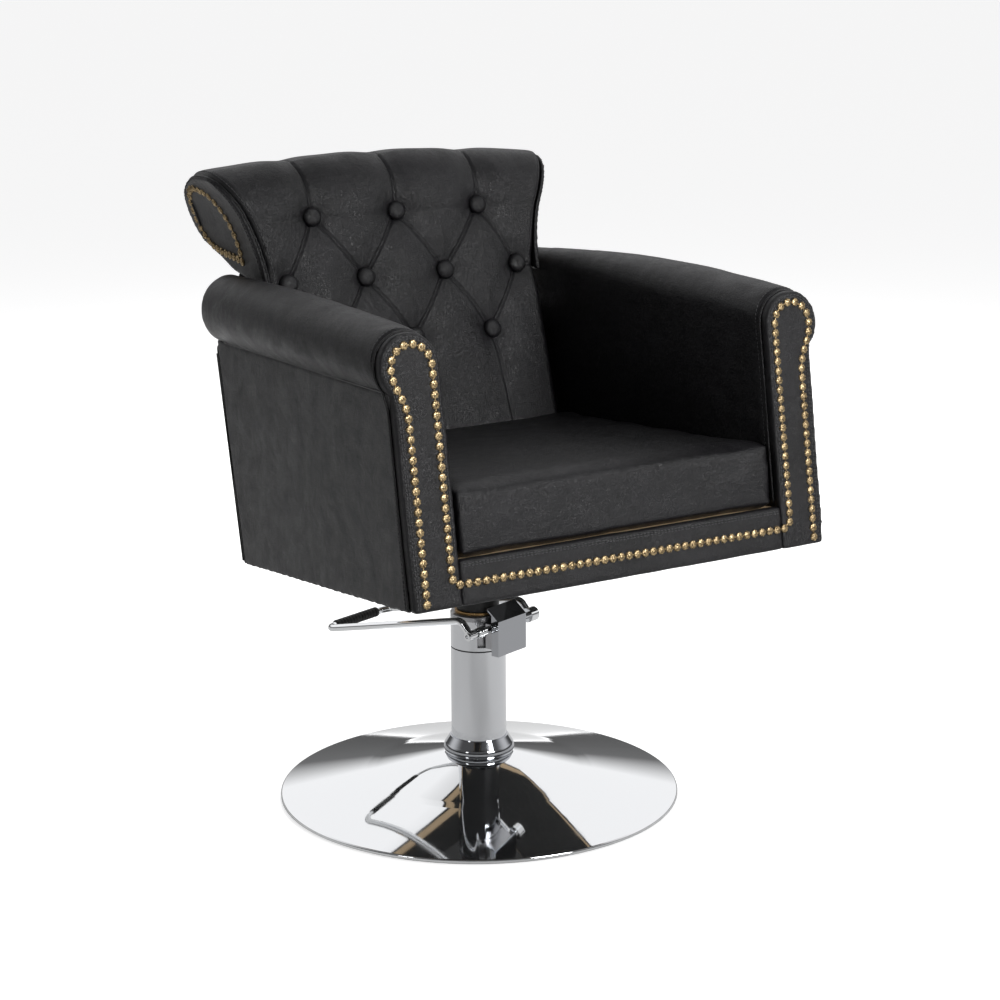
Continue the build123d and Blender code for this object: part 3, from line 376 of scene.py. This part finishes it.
def even_points(points, spacing):
    """Points at an even spacing along a line of points."""
    lengths = [0.0]
    for before, after in zip(points, points[1:]):
        lengths.append(lengths[-1] + (after - before).length)
    count = max(2, round(lengths[-1] / spacing) + 1)
    spaced = []
    segment = 0
    for index in range(count):
        target = lengths[-1] * index / (count - 1)
        while segment < len(points) - 2 and lengths[segment + 1] < target:
            segment += 1
        span = max(lengths[segment + 1] - lengths[segment], 1e-9)
        spaced.append(points[segment].lerp(points[segment + 1], (target - lengths[segment]) / span))
    return spaced


def stitches(points, pitch=0.0052, length=0.0034, radius=0.0006):
    """A row of separate sewn stitches along a line of points."""
    spots = even_points(points, pitch)
    meshes = []
    for before, after in zip(spots, spots[1:]):
        along = (after - before).normalized()
        middle = (before + after) / 2
        ends = [middle - along * length / 2, middle, middle + along * length / 2]
        meshes.append(tube_mesh(ends, radius, sides=5))
    return joined(meshes)


# ---------------------------------------------------------------- seat back

BACK_FOOT = Vector((0.083, 0.370))
BACK_LEAN = radians(16.28)
FACE_LENGTH = 0.430
WAIST_HALF = 0.2175
WAIST_HEIGHT = 0.690
CREST_HALF = 0.272
CREST_HEIGHT = 0.848
CREST_RISE = 0.0185
FLARE_RISE = CREST_HEIGHT - WAIST_HEIGHT
FLARE_OUT = CREST_HALF - WAIST_HALF
FLARE_RADIUS = (FLARE_RISE**2 + FLARE_OUT**2) / 2 / FLARE_OUT
BACK_SPREAD = 0.24  # how far across the back's outlines are taken, before the flare widens them
BACK_INSET = 0.0063  # room left for the wing panels at each end
END_RADIUS = 0.013  # rounding of the back's ends
END_RECESS = 0.022  # how far the flat ends lie inside the wing panels

# The head's outline in depth and height, over the top and down to the bottom of the rear
BROW = (0.219, 0.819)
CREST_FRONT = (0.261, 0.841)
CREST_BACK = (0.316, 0.834)
ROLL_SHOULDER = (0.354, 0.817)
ROLL_REAR = (0.382, 0.782)
ROLL_UNDER = (0.360, 0.742)
ROLL_UNDER_SHARE = 0.7  # of the crest's rise
HOLLOW = (0.276, 0.713)
SHELF = (0.238, 0.704)
REAR_MIDDLE = (0.195, 0.530)
REAR_BOTTOM = (0.152, 0.350)

# Deep buttoning: each row is its distance up the back and the places across of its buttons
BUTTON_ROWS = (
    (0.434, (-0.1316, 0, 0.1316)),
    (0.346, (-0.182, -0.063, 0.063, 0.182)),
    (0.257, (-0.125, 0, 0.125)),
)
BUTTON_DEPTH = 0.012
BUTTON_PROUD = 0.0045
BUTTON_TURNS = 28
BUTTON_OUTLINE = (  # radius and height of the dome, from its turned-in edge to its top
    (0.0, 0.0),
    (0.0110, 0.0),
    (0.0130, 0.0016),
    (0.0135, 0.0038),
    (0.0128, 0.0060),
    (0.0106, 0.0081),
    (0.0073, 0.0094),
    (0.0036, 0.0100),
    (0.0, 0.0102),
)
TUFT_END = 0.70
TUFT_FADE = 0.06  # length over which the buttoning dies out before its end
PLEAT_TOP = 0.690
PLEAT_FOOT = 0.080
PLEAT_SPAN = 0.09  # buttons closer across than this are joined by a fold
PLEAT_REACH = 0.1  # a fold with both ends further across than this has no effect
CROWN = 0.0040
PIT_DEPTH, PIT_SPREAD = 0.0105, 0.027
DIMPLE_DEPTH, DIMPLE_SPREAD = 0.0035, 0.014
CREASE_DEPTH, CREASE_SPREAD = 0.0036, 0.0018
VALLEY_DEPTH, VALLEY_SPREAD = 0.0072, 0.024
FOLD_FADE = 0.045  # length over which a fold weakens away from its button


def flare_half(height):
    """Half width of the back at a height: straight to the waist, then on an arc."""
    rise = min(max(height - WAIST_HEIGHT, 0), FLARE_RADIUS * 0.75)
    return WAIST_HALF + FLARE_RADIUS - sqrt(FLARE_RADIUS**2 - rise**2)


def crest_rise(across):
    """How much higher the crest is at a distance across than at its ends."""
    return CREST_RISE * (1 - (across / CREST_HALF) ** 2)


def three_point_arc(first, middle, last, count):
    """Points of the arc through three flat points."""
    (ax, ay), (bx, by), (cx, cy) = first, middle, last
    d = 2 * (ax * (by - cy) + bx * (cy - ay) + cx * (ay - by))
    a2, b2, c2 = ax * ax + ay * ay, bx * bx + by * by, cx * cx + cy * cy
    ux = (a2 * (by - cy) + b2 * (cy - ay) + c2 * (ay - by)) / d
    uy = (a2 * (cx - bx) + b2 * (ax - cx) + c2 * (bx - ax)) / d
    radius = sqrt((ax - ux) ** 2 + (ay - uy) ** 2)
    start = atan2(ay - uy, ax - ux)
    turn = (atan2(cy - uy, cx - ux) - start + pi) % (2 * pi) - pi
    return [
        (ux + radius * cos(start + turn * index / count), uy + radius * sin(start + turn * index / count))
        for index in range(count + 1)
    ]


def line_points(start, end, count):
    """Points of a straight flat line."""
    return [
        (start[0] + (end[0] - start[0]) * i / count, start[1] + (end[1] - start[1]) * i / count)
        for i in range(count + 1)
    ]


def raised(point, rise):
    return (point[0], point[1] + rise)


def back_profile(across, spacing=0.0021):
    """Points of the back's outline in depth and height, at a distance across."""
    rise = crest_rise(across)
    head = (BACK_FOOT.x + FACE_LENGTH * sin(BACK_LEAN), BACK_FOOT.y + FACE_LENGTH * cos(BACK_LEAN))
    crest_front = raised(CREST_FRONT, rise)
    shoulder = raised(ROLL_SHOULDER, rise)
    under = raised(ROLL_UNDER, rise * ROLL_UNDER_SHARE)
    front = line_points(BACK_FOOT, head, round(FACE_LENGTH / spacing))[:-1]
    brow = three_point_arc(head, raised(BROW, rise / 2), crest_front, 34)[:-1]
    crest = three_point_arc(crest_front, raised(CREST_BACK, rise), shoulder, 34)[:-1]
    roll = three_point_arc(shoulder, raised(ROLL_REAR, rise), under, 30)
    hollow = line_points(under, HOLLOW, 14)[1:]
    return front + brow + crest + roll + hollow + [SHELF, REAR_MIDDLE, REAR_BOTTOM]


def pleat_lines():
    """The folds between buttons, as pairs of (across, up) points."""
    (top, first), (middle, second), (low, third) = BUTTON_ROWS
    lines = [((x, top), (x * 1.10, PLEAT_TOP)) for x in first]
    for x in first:
        lines += [((x, top), (y, middle)) for y in second if abs(x - y) < PLEAT_SPAN]
    for x in second:
        lines += [((x, middle), (y, low)) for y in third if abs(x - y) < PLEAT_SPAN]
    lines += [((x, low), (x * 1.08, PLEAT_FOOT)) for x in third]
    lines += [((side * 0.182, middle), (side * 0.23, middle - 0.006)) for side in (-1, 1)]
    return lines


PLEATS = [(Vector((*a, 0)), Vector((*b, 0))) for a, b in pleat_lines()]
BUTTONS = [(across, up) for up, row in BUTTON_ROWS for across in row]


def tuft_depth(across, up):
    """How far the cover stands in front of the smooth back: negative at buttons and folds, proud between."""
    point = Vector((across, up, 0))
    near = min((point - Vector((*button, 0))).length for button in BUTTONS)
    fold = 0.0
    for start, end in PLEATS:
        if min(abs(across - start.x), abs(across - end.x)) > PLEAT_REACH:
            continue
        _, share = intersect_point_line(point, start, end)
        share = min(max(share, 0), 1)
        gap = (point - start.lerp(end, share)).length
        along = (start.lerp(end, share) - start).length
        rest = (start.lerp(end, share) - end).length
        between_buttons = PLEAT_FOOT < end.y < PLEAT_TOP
        reach = min(along, rest) if between_buttons else along
        lasting = 0.35 if between_buttons else 0.06
        strength = lasting + (1 - lasting) * exp(-reach / FOLD_FADE)
        crease = CREASE_DEPTH * (0.55 + 0.45 * strength) * exp(-((gap / CREASE_SPREAD) ** 2))
        valley = VALLEY_DEPTH * strength * exp(-((gap / VALLEY_SPREAD) ** 2))
        fold = max(fold, crease + valley)
    pit = PIT_DEPTH * exp(-((near / PIT_SPREAD) ** 2))
    pit += DIMPLE_DEPTH * exp(-((near / DIMPLE_SPREAD) ** 4))
    return CROWN - max(pit, 0.45 * pit + fold)


def back_mesh():
    """The buttoned back as one closed skin: front, rolled head, hollow under it and rear."""
    columns = 240
    vertices = []
    faces = []
    cap_points = {}
    for column in range(columns + 1):
        share = 2 * column / columns - 1
        outline = back_profile(share * BACK_SPREAD)
        length = 0.0
        count = len(outline)
        for index, (depth, height) in enumerate(outline):
            if index:
                before = outline[index - 1]
                length += sqrt((depth - before[0]) ** 2 + (height - before[1]) ** 2)
            after = outline[min(index + 1, count - 1)]
            before = outline[max(index - 1, 0)]
            along = Vector((after[0] - before[0], after[1] - before[1])).normalized()
            outward = Vector((-along.y, along.x))
            half = flare_half(height) - BACK_INSET
            across = share * half
            edge = half - abs(across)
            push = 0.0
            if length < TUFT_END:
                fade = min(1, (TUFT_END - length) / TUFT_FADE)
                push = tuft_depth(across, length) * fade
                push += 0.0009 * noise.noise(Vector((across * 18, length * 18, 3))) * fade
            if edge < END_RADIUS:
                push -= END_RADIUS - sqrt(END_RADIUS**2 - (END_RADIUS - edge) ** 2)
            vertices.append(Vector((across, depth + outward.x * push, height + outward.y * push)))
        base = column * count
        if column in (0, columns):
            inward = Vector((-share * END_RECESS, 0, 0))
            cap_points[column] = [vertices[base + index] + inward for index in range(count)]
        if column:
            for index in range(count):
                after = (index + 1) % count
                faces.append((base - count + index, base + index, base + after, base - count + after))
    for column, points in cap_points.items():
        base = column * count
        inner = len(vertices)
        vertices.extend(points)
        for index in range(count):
            after = (index + 1) % count
            faces.append((base + index, base + after, inner + after, inner + index))
        faces.append(tuple(range(inner, inner + count)))
    return vertices, faces


def build_back():
    """The buttoned back as a piece, with its faces turned outward."""
    vertices, faces = back_mesh()
    back = new_piece("buttoned_back", vertices, faces, LEATHER, "seat")
    bm = bmesh.new()
    bm.from_mesh(back.data)
    bmesh.ops.recalc_face_normals(bm, faces=bm.faces)
    bm.to_mesh(back.data)
    bm.free()
    back.data.shade_smooth()
    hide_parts("back_cushion")


def build_buttons():
    """Covered buttons: a soft dome with a turned-in edge."""
    outline = BUTTON_OUTLINE
    turns = BUTTON_TURNS
    normal = Vector((0, -cos(BACK_LEAN), sin(BACK_LEAN)))
    upward = Vector((0, sin(BACK_LEAN), cos(BACK_LEAN)))
    meshes = []
    for across, up in BUTTONS:
        foot = Vector((across, BACK_FOOT.x, BACK_FOOT.y))
        seat = foot + upward * up - normal * (BUTTON_DEPTH - BUTTON_PROUD)
        vertices = [seat + normal * outline[0][1]]
        for radius, out in outline[1:-1]:
            for turn in range(turns):
                angle = 2 * pi * turn / turns
                across_step = Vector((1, 0, 0)) * cos(angle) + upward * sin(angle)
                vertices.append(seat + across_step * radius + normal * out)
        vertices.append(seat + normal * outline[-1][1])
        rings = len(outline) - 2
        faces = [(0, 1 + (turn + 1) % turns, 1 + turn) for turn in range(turns)]
        for ring in range(rings - 1):
            for turn in range(turns):
                a = 1 + ring * turns + turn
                b = 1 + ring * turns + (turn + 1) % turns
                faces.append((a, b, b + turns, a + turns))
        last = 1 + (rings - 1) * turns
        faces += [(last + turn, last + (turn + 1) % turns, len(vertices) - 1) for turn in range(turns)]
        meshes.append((vertices, faces))
    vertices, faces = joined(meshes)
    buttons = new_piece("covered_buttons", vertices, faces, LEATHER, "seat")
    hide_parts("back_buttons")


build_back()
build_buttons()

# ---------------------------------------------------------------- upholstered pieces


def soft_waves(size, height):
    """Low waves in a cover, of about a size and a height."""

    def move(point, normal):
        place = point / size
        return normal * (noise.noise(place) * height + noise.noise(place * 2.3) * height * 0.4)

    return move


def arm_creases(point, normal):
    """Handling creases and soft waves of the arm covers, stronger where the roll meets its facing."""
    place = Vector((point.x * 9, point.y * 16, point.z * 9))
    wave = noise.noise(place) * 0.0011
    twisted = Vector((point.x * 20 + point.y * 9, point.y * 30 - point.z * 12, point.z * 20))
    crease = -abs(noise.noise(twisted)) * 0.0011
    front = exp(-max(point.y + 0.325, 0) / 0.07)
    return normal * (wave + crease * (0.25 + front) + 0.0003)


for side in ("left", "right"):
    upholster(
        f"arm_{side}",
        f"arm_roll_{side}",
        f"inside_pad_{side}",
        voxel=0.005,
        rounds=9,
        grow=0.001,
        wrinkle=arm_creases,
        finer=1,
        fill=0.9,
    )
    upholster(
        f"facing_{side}",
        f"arm_facing_{side}",
        voxel=0.0028,
        rounds=8,
        grow=0.0008,
        wrinkle=soft_waves(0.04, 0.0005),
    )
    upholster(
        f"outside_panel_{side}",
        f"side_panel_{side}",
        voxel=0.0026,
        rounds=5,
        grow=0.0009,
        wrinkle=soft_waves(0.12, 0.0007),
    )
    upholster(
        f"wing_end_{side}",
        f"wing_panel_{side}",
        voxel=0.0024,
        rounds=5,
        grow=0.0006,
        wrinkle=soft_waves(0.05, 0.0003),
    )
upholster(
    "rail_cover",
    "front_rail",
    voxel=0.0028,
    rounds=8,
    grow=0.0008,
    wrinkle=soft_waves(0.05, 0.0005),
)
upholster(
    "back_cover",
    "outside_back",
    voxel=0.0026,
    rounds=5,
    grow=0.0009,
    wrinkle=soft_waves(0.14, 0.0009),
)
upholster(
    "cushion",
    "seat_cushion",
    voxel=0.006,
    rounds=5,
    wrinkle=soft_waves(0.09, 0.0009),
    pressure=4.0,
    cap=0.006,
    fill=0.8,
    finer=1,
)

# ---------------------------------------------------------------- nails

NAIL_PITCH = 0.0122
NAIL_TURNS = 24
NAIL_STEP = 0.3  # radians that each nail head is turned on from the one before
NAIL_TOP = 0.0027
NAIL_RINGS = (  # radius and height of a nail head's rings, from its edge inwards
    (0.0053, -0.0012),
    (0.0054, 0.0002),
    (0.0050, 0.0010),
    (0.0038, 0.0019),
    (0.0027, 0.0015),
    (0.0020, 0.0021),
)
PETALS = 8
LOBED_FROM = 0.0045  # rings wider than this have a scalloped edge
PETALS_FROM, PETALS_TO = 0.003, 0.0052  # rings between these rise and fall with the petals
LINK_RADIUS = 0.0011
LINK_HALF = 0.0024
LINK_SINK = 0.0004


def island_centres(node):
    """The middle of each separate nail head of a CAD node."""
    bm = bmesh.new()
    bm.from_mesh(nodes[node].data)
    bmesh.ops.remove_doubles(bm, verts=bm.verts, dist=1e-6)
    seen = set()
    centres = []
    for vertex in bm.verts:
        if vertex in seen:
            continue
        stack = [vertex]
        island = []
        seen.add(vertex)
        while stack:
            current = stack.pop()
            island.append(current.co.copy())
            for edge in current.link_edges:
                other = edge.other_vert(current)
                if other not in seen:
                    seen.add(other)
                    stack.append(other)
        low = Vector([min(co[axis] for co in island) for axis in range(3)])
        high = Vector([max(co[axis] for co in island) for axis in range(3)])
        centres.append((low + high) / 2)
    bm.free()
    return centres


def nail_mesh(centre, normal, turn):
    """One embossed nail head: a dome with petals round a raised middle."""
    turns = NAIL_TURNS
    first = normal.orthogonal().normalized()
    second = normal.cross(first)
    vertices = []
    for radius, out in NAIL_RINGS:
        for step in range(turns):
            angle = 2 * pi * step / turns + turn
            wave = cos(PETALS * 2 * pi * step / turns)
            lobe = 1 + (0.06 * wave if radius > LOBED_FROM else 0)
            lift = 0.00035 * wave if PETALS_FROM < radius < PETALS_TO else 0
            direction = first * cos(angle) + second * sin(angle)
            vertices.append(centre + direction * radius * lobe + normal * (out + lift))
    vertices.append(centre + normal * NAIL_TOP)
    faces = []
    for ring in range(len(NAIL_RINGS) - 1):
        for step in range(turns):
            a = ring * turns + step
            b = ring * turns + (step + 1) % turns
            faces.append((a, b, b + turns, a + turns))
    last = (len(NAIL_RINGS) - 1) * turns
    faces += [(last + step, last + (step + 1) % turns, len(vertices) - 1) for step in range(turns)]
    faces.append(tuple(reversed(range(turns))))
    return vertices, faces


def link_mesh(start, end, normal):
    """The small bar of a nail strip between two heads."""
    middle = (start + end) / 2 - normal * LINK_SINK
    along = (end - start).normalized()
    points = [middle + along * LINK_HALF * step for step in (-1, -0.5, 0.5, 1)]
    return tube_mesh(points, LINK_RADIUS)


def build_nails(name, node, normal_at):
    """Embossed heads at a CAD node's nails, with a link between each two neighbours."""
    centres = island_centres(node)
    meshes = []
    for index, centre in enumerate(centres):
        meshes.append(nail_mesh(centre, normal_at(centre), index * NAIL_STEP))
    for index, centre in enumerate(centres):
        for other in centres[index + 1 :]:
            if 0.5 * NAIL_PITCH < (centre - other).length < 1.25 * NAIL_PITCH:
                meshes.append(link_mesh(centre, other, normal_at(centre)))
    vertices, faces = joined(meshes)
    nails = new_piece(name, vertices, faces, BRASS, "seat")
    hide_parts(node)


def wing_normal(point):
    """The outward direction of the flared wing panel at a point."""
    slope = (flare_half(point.z + 0.001) - flare_half(point.z - 0.001)) / 0.002
    return Vector((1 if point.x > 0 else -1, 0, -slope)).normalized()


build_nails("facing_nail_strip", "facing_nails", lambda point: FRONT_OUT)
build_nails("wing_nail_strip", "wing_nails", wing_normal)

# ---------------------------------------------------------------- piping and stitching

SCROLL = (0.281, 0.2865)
SCROLL_RADIUS = 0.040
FACING_OUTER = ((0.305, 0.002), (0.3062, 0.12), (0.3068, 0.235))  # its outer edge, from the foot up
FACING_INNER_HALF = 0.2402
RAIL_HALF = 0.236
RAIL_TOP = 0.054
SIDE_FRONT_HALF = 0.307
SIDE_TAPER = 0.0755
TUCK_FRONT_HEIGHT = 0.2555
TUCK_RISE = 0.0875
TUCK_START = 0.016
TUCK_LENGTH = 0.52
REAR_LEAN = radians(13.5)
REAR_FOOT = 0.175
REAR_FOOT_HEIGHT = 0.3258
REAR_HALF = 0.2658
REAR_NARROWING = 0.0026  # from the foot of the corner piping to its top
REAR_START = 0.004
REAR_LENGTH = 0.284
SEAM_SPACING = 0.004  # between the points that piping and stitches follow
STITCH_INSETS = (0.0045, 0.0075)  # the two rows of stitches inside an edge
EDGE_FOOT = 0.70  # the head's seams start at this height
EDGE_REAR = 0.355  # and end at this depth


def facing_outline(side, grow=0.0, out=0.0):
    """The edge of a front facing, from its outer foot over the scroll and down to the rail."""
    radius = SCROLL_RADIUS + grow
    inner = FACING_INNER_HALF - grow
    flat = [(across + grow, up) for across, up in FACING_OUTER]
    flat += arc_points(SCROLL, radius, -40, 180, 40)
    flat += [(SCROLL[0] - radius, 0.2), (inner, 0.12), (inner, 0.060)]
    return [on_front(side * across, up, out) for across, up in flat]


def surface_of(*names):
    """The outer skin of some finished pieces, to lay seams on."""
    bm = bmesh.new()
    for name in names:
        bm.from_mesh(bpy.data.objects[name].data)
    skin = BVHTree.FromBMesh(bm)
    bm.free()
    return skin


def laid(points, skin, lift=0.0003):
    """Points dropped onto the nearest place of a skin, standing proud of it by a little."""
    resting = []
    for point in points:
        place, normal, _, _ = skin.find_nearest(point)
        resting.append(place + normal * lift)
    return resting


def leather_piece(name, meshes, material):
    """Several meshes as one piece of the seat's leather work."""
    vertices, faces = joined(meshes)
    return new_piece(name, vertices, faces, material, "seat")


def outside_half(station):
    """Half width over the side panels at a distance back along the tub."""
    return SIDE_FRONT_HALF - SIDE_TAPER * station


def tuck_height(station):
    """Height above the tub's bottom of the line where the rolls meet the side panels."""
    return TUCK_FRONT_HEIGHT + TUCK_RISE * station


def on_rear(across, up):
    """A point of the outside back's plane."""
    foot = Vector((across, REAR_FOOT, REAR_FOOT_HEIGHT))
    return foot + Vector((0, sin(REAR_LEAN), cos(REAR_LEAN))) * up


def build_tub_seams():
    """Piping round the facings, under the rolls and down the rear corners, with rows of stitches."""
    welts = []
    rows = []
    for side, name in ((1, "left"), (-1, "right")):
        edge = even_points(facing_outline(side, grow=0.0010, out=-0.0135), SEAM_SPACING)
        welts.append(tube_mesh(edge, 0.0019))
        facing = surface_of(f"facing_{name}")
        for inset in STITCH_INSETS:
            line = even_points(facing_outline(side, grow=-inset, out=0.002), SEAM_SPACING)
            rows.append(stitches(laid(line, facing)))
        covers = surface_of(f"arm_{name}", f"outside_panel_{name}")
        line = even_points(facing_outline(side, grow=0.004, out=-0.0205), SEAM_SPACING)
        rows.append(stitches(laid(line, covers)))
        stations = [TUCK_START + TUCK_LENGTH * index / 60 for index in range(61)]
        tuck = [in_tub(side * (outside_half(s) + 0.0006), s, tuck_height(s)) for s in stations]
        welts.append(tube_mesh(tuck, 0.0022))
        corner = []
        for index in range(31):
            half = REAR_HALF - REAR_NARROWING * index / 30
            corner.append(on_rear(side * half, REAR_START + REAR_LENGTH * index / 30))
        welts.append(tube_mesh(corner, 0.002))
    rail = surface_of("rail_cover")
    for drop in STITCH_INSETS:
        line = [on_front(RAIL_HALF * (index / 60 - 1), RAIL_TOP - drop, 0.002) for index in range(121)]
        rows.append(stitches(laid(line, rail)))
    leather_piece("tub_piping", welts, PIPING)
    leather_piece("tub_stitches", rows, THREAD)


def wing_edge(side, inset):
    """A line down the flared front edge of the back's head, and round under it."""
    points = []
    for depth, height in back_profile(BACK_SPREAD):
        if height > EDGE_FOOT and depth < EDGE_REAR:
            points.append(Vector((side * (flare_half(height) - inset), depth, height)))
    return even_points(points, SEAM_SPACING)


def build_head_seams():
    """Piping along the flared edges of the head, and a row of stitches on each side of it."""
    welts = []
    rows = []
    cover = surface_of("buttoned_back")
    for side, name in ((1, "left"), (-1, "right")):
        end = surface_of(f"wing_end_{name}")
        welts.append(tube_mesh(laid(wing_edge(side, 0.0058), end, 0.0002), 0.0018))
        rows.append(stitches(laid(wing_edge(side, 0.0155), cover)))
        rim = [point + Vector((side * 0.004, 0.006, -0.005)) for point in wing_edge(side, 0.0)]
        rows.append(stitches(laid(rim, end)))
    leather_piece("head_piping", welts, PIPING)
    leather_piece("head_stitches", rows, THREAD)


build_tub_seams()
build_head_seams()

# ---------------------------------------------------------------- return spring

SPRING_TURNS = 9
STEPS_PER_TURN = 20
SPRING_LENGTH = 0.019
SPRING_RADIUS = 0.0062
SPRING_WIRE_RADIUS = 0.0009


def build_spring():
    """The lever's close-wound torsion spring, as wire round the pivot shaft."""
    low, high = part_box("return_spring")
    middle = (low + high) / 2
    shaft_low, shaft_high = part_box("pivot_shaft")
    along = Vector((shaft_high.x - shaft_low.x, shaft_high.y - shaft_low.y, 0)).normalized()
    back = Vector((-along.y, along.x, 0))
    up = Vector((0, 0, 1))
    steps = SPRING_TURNS * STEPS_PER_TURN
    points = []
    for step in range(steps + 1):
        angle = 2 * pi * step / STEPS_PER_TURN
        station = along * (SPRING_LENGTH * (step / steps - 0.5))
        ring = back * cos(angle) * SPRING_RADIUS + up * sin(angle) * SPRING_RADIUS
        points.append(middle + station + ring)
    vertices, faces = tube_mesh(points, SPRING_WIRE_RADIUS)
    spring = new_piece("spring_wire", vertices, faces, CHROME, "lift")
    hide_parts("return_spring")


build_spring()

# ---------------------------------------------------------------- studio

FLOOR_HALF = 60.0
FLOOR_GREY = 0.5
FLOOR_GLOW = 0.1  # as reflections and bounced light meet it
FLOOR_GLOW_SEEN = 0.72  # as the camera meets it
LAMPS = (  # name, place, what it points at, side of its square, watts
    ("key_light", (0.6, -3.3, 1.9), (0, 0, 0.55), 1.3, 105),
    ("side_light", (-3.2, -1.0, 1.5), (0, 0, 0.5), 0.5, 5),
    ("floor_light", (1.1, 1.9, 1.6), (0.9, 1.5, 0), 0.8, 60),
)
WORLD_STOPS = ((0.0, 0.10), (0.16, 0.16), (0.30, 1.0), (0.66, 1.0), (0.85, 0.30))  # sine of height, grey
REARWARD = (0.53, 0.85, 0)
DARK_SIDE, BRIGHT_SIDE = -0.35, 0.25  # where along rearward the surround starts and ends brightening
DARK_STRENGTH = 0.14


def build_floor():
    """A pale floor that shows brighter to the camera than to reflections and bounced light."""
    corners = [(-FLOOR_HALF, -FLOOR_HALF, 0), (FLOOR_HALF, -FLOOR_HALF, 0)]
    corners += [(FLOOR_HALF, FLOOR_HALF, 0), (-FLOOR_HALF, FLOOR_HALF, 0)]
    mesh = bpy.data.meshes.new("floor")
    mesh.from_pydata(corners, [], [(0, 1, 2, 3)])
    floor = bpy.data.objects.new("floor", mesh)
    scene.collection.objects.link(floor)
    paper = Material("floor_paper", Roughness=0.9)
    paper.shader.inputs["Base Color"].default_value = (FLOOR_GREY, FLOOR_GREY, FLOOR_GREY, 1)
    paper.shader.inputs["Specular IOR Level"].default_value = 0.0
    paper.shader.inputs["Emission Color"].default_value = (1, 1, 1, 1)
    seen = paper.add("ShaderNodeLightPath").outputs["Is Camera Ray"]
    paper.feed("Emission Strength", paper.remap(seen, FLOOR_GLOW, FLOOR_GLOW_SEEN))
    paint(floor, paper.material)


def build_lamps():
    """Square soft lights. The one that brightens the floor behind is hidden from reflections."""
    for name, place, aim, size, power in LAMPS:
        data = bpy.data.lights.new(name, "AREA")
        data.shape = "SQUARE"
        data.size = size
        data.energy = power
        lamp = bpy.data.objects.new(name, data)
        lamp.location = place
        lamp.rotation_euler = (Vector(aim) - Vector(place)).to_track_quat("-Z", "Y").to_euler()
        scene.collection.objects.link(lamp)
        lamp.visible_glossy = name != "floor_light"


def build_world():
    """A surround that is dark at the horizon, white above it, grey overhead and dimmer in front."""
    world = bpy.data.worlds.new("studio")
    world.use_nodes = True
    tree = world.node_tree
    direction = tree.nodes.new("ShaderNodeTexCoord").outputs["Generated"]
    height = tree.nodes.new("ShaderNodeSeparateXYZ")
    tree.links.new(direction, height.inputs[0])
    ramp = tree.nodes.new("ShaderNodeValToRGB")
    tree.links.new(height.outputs["Z"], ramp.inputs["Fac"])
    while len(ramp.color_ramp.elements) < len(WORLD_STOPS):
        ramp.color_ramp.elements.new(0.5)
    for element, (position, grey) in zip(ramp.color_ramp.elements, WORLD_STOPS):
        element.position = position
        element.color = (grey, grey, grey * 1.01, 1)
    rearward = tree.nodes.new("ShaderNodeVectorMath")
    rearward.operation = "DOT_PRODUCT"
    rearward.inputs[1].default_value = REARWARD
    tree.links.new(direction, rearward.inputs[0])
    share = tree.nodes.new("ShaderNodeMapRange")
    share.interpolation_type = "SMOOTHSTEP"
    share.inputs["From Min"].default_value = DARK_SIDE
    share.inputs["From Max"].default_value = BRIGHT_SIDE
    share.inputs["To Min"].default_value = DARK_STRENGTH
    share.inputs["To Max"].default_value = 1.0
    tree.links.new(rearward.outputs["Value"], share.inputs["Value"])
    tree.links.new(ramp.outputs["Color"], tree.nodes["Background"].inputs["Color"])
    tree.links.new(share.outputs["Result"], tree.nodes["Background"].inputs["Strength"])
    scene.world = world
    scene.view_settings.view_transform = "Standard"


def build_camera():
    """The photograph's viewing angle: from the front and the sitter's right, looking down a little."""
    turn, drop, roll = radians(-31.97), radians(13.69), radians(-0.33)
    distance, height, offset = 3.212, 0.4144, 0.031
    forward = Vector((-sin(turn) * cos(drop), cos(turn) * cos(drop), -sin(drop)))
    right = Vector((cos(turn), sin(turn), 0))
    up = right.cross(forward)
    place = Vector((0, 0, height)) + right * offset - forward * distance
    rolled_right = right * cos(roll) + up * sin(roll)
    rolled_up = up * cos(roll) - right * sin(roll)
    axes = Matrix((rolled_right, rolled_up, -forward)).transposed()
    data = bpy.data.cameras.new("camera")
    data.lens = 85.6
    data.sensor_width = 36
    camera = bpy.data.objects.new("camera", data)
    camera.matrix_world = Matrix.Translation(place) @ axes.to_4x4()
    scene.collection.objects.link(camera)
    scene.camera = camera


build_floor()
build_lamps()
build_world()
build_camera()
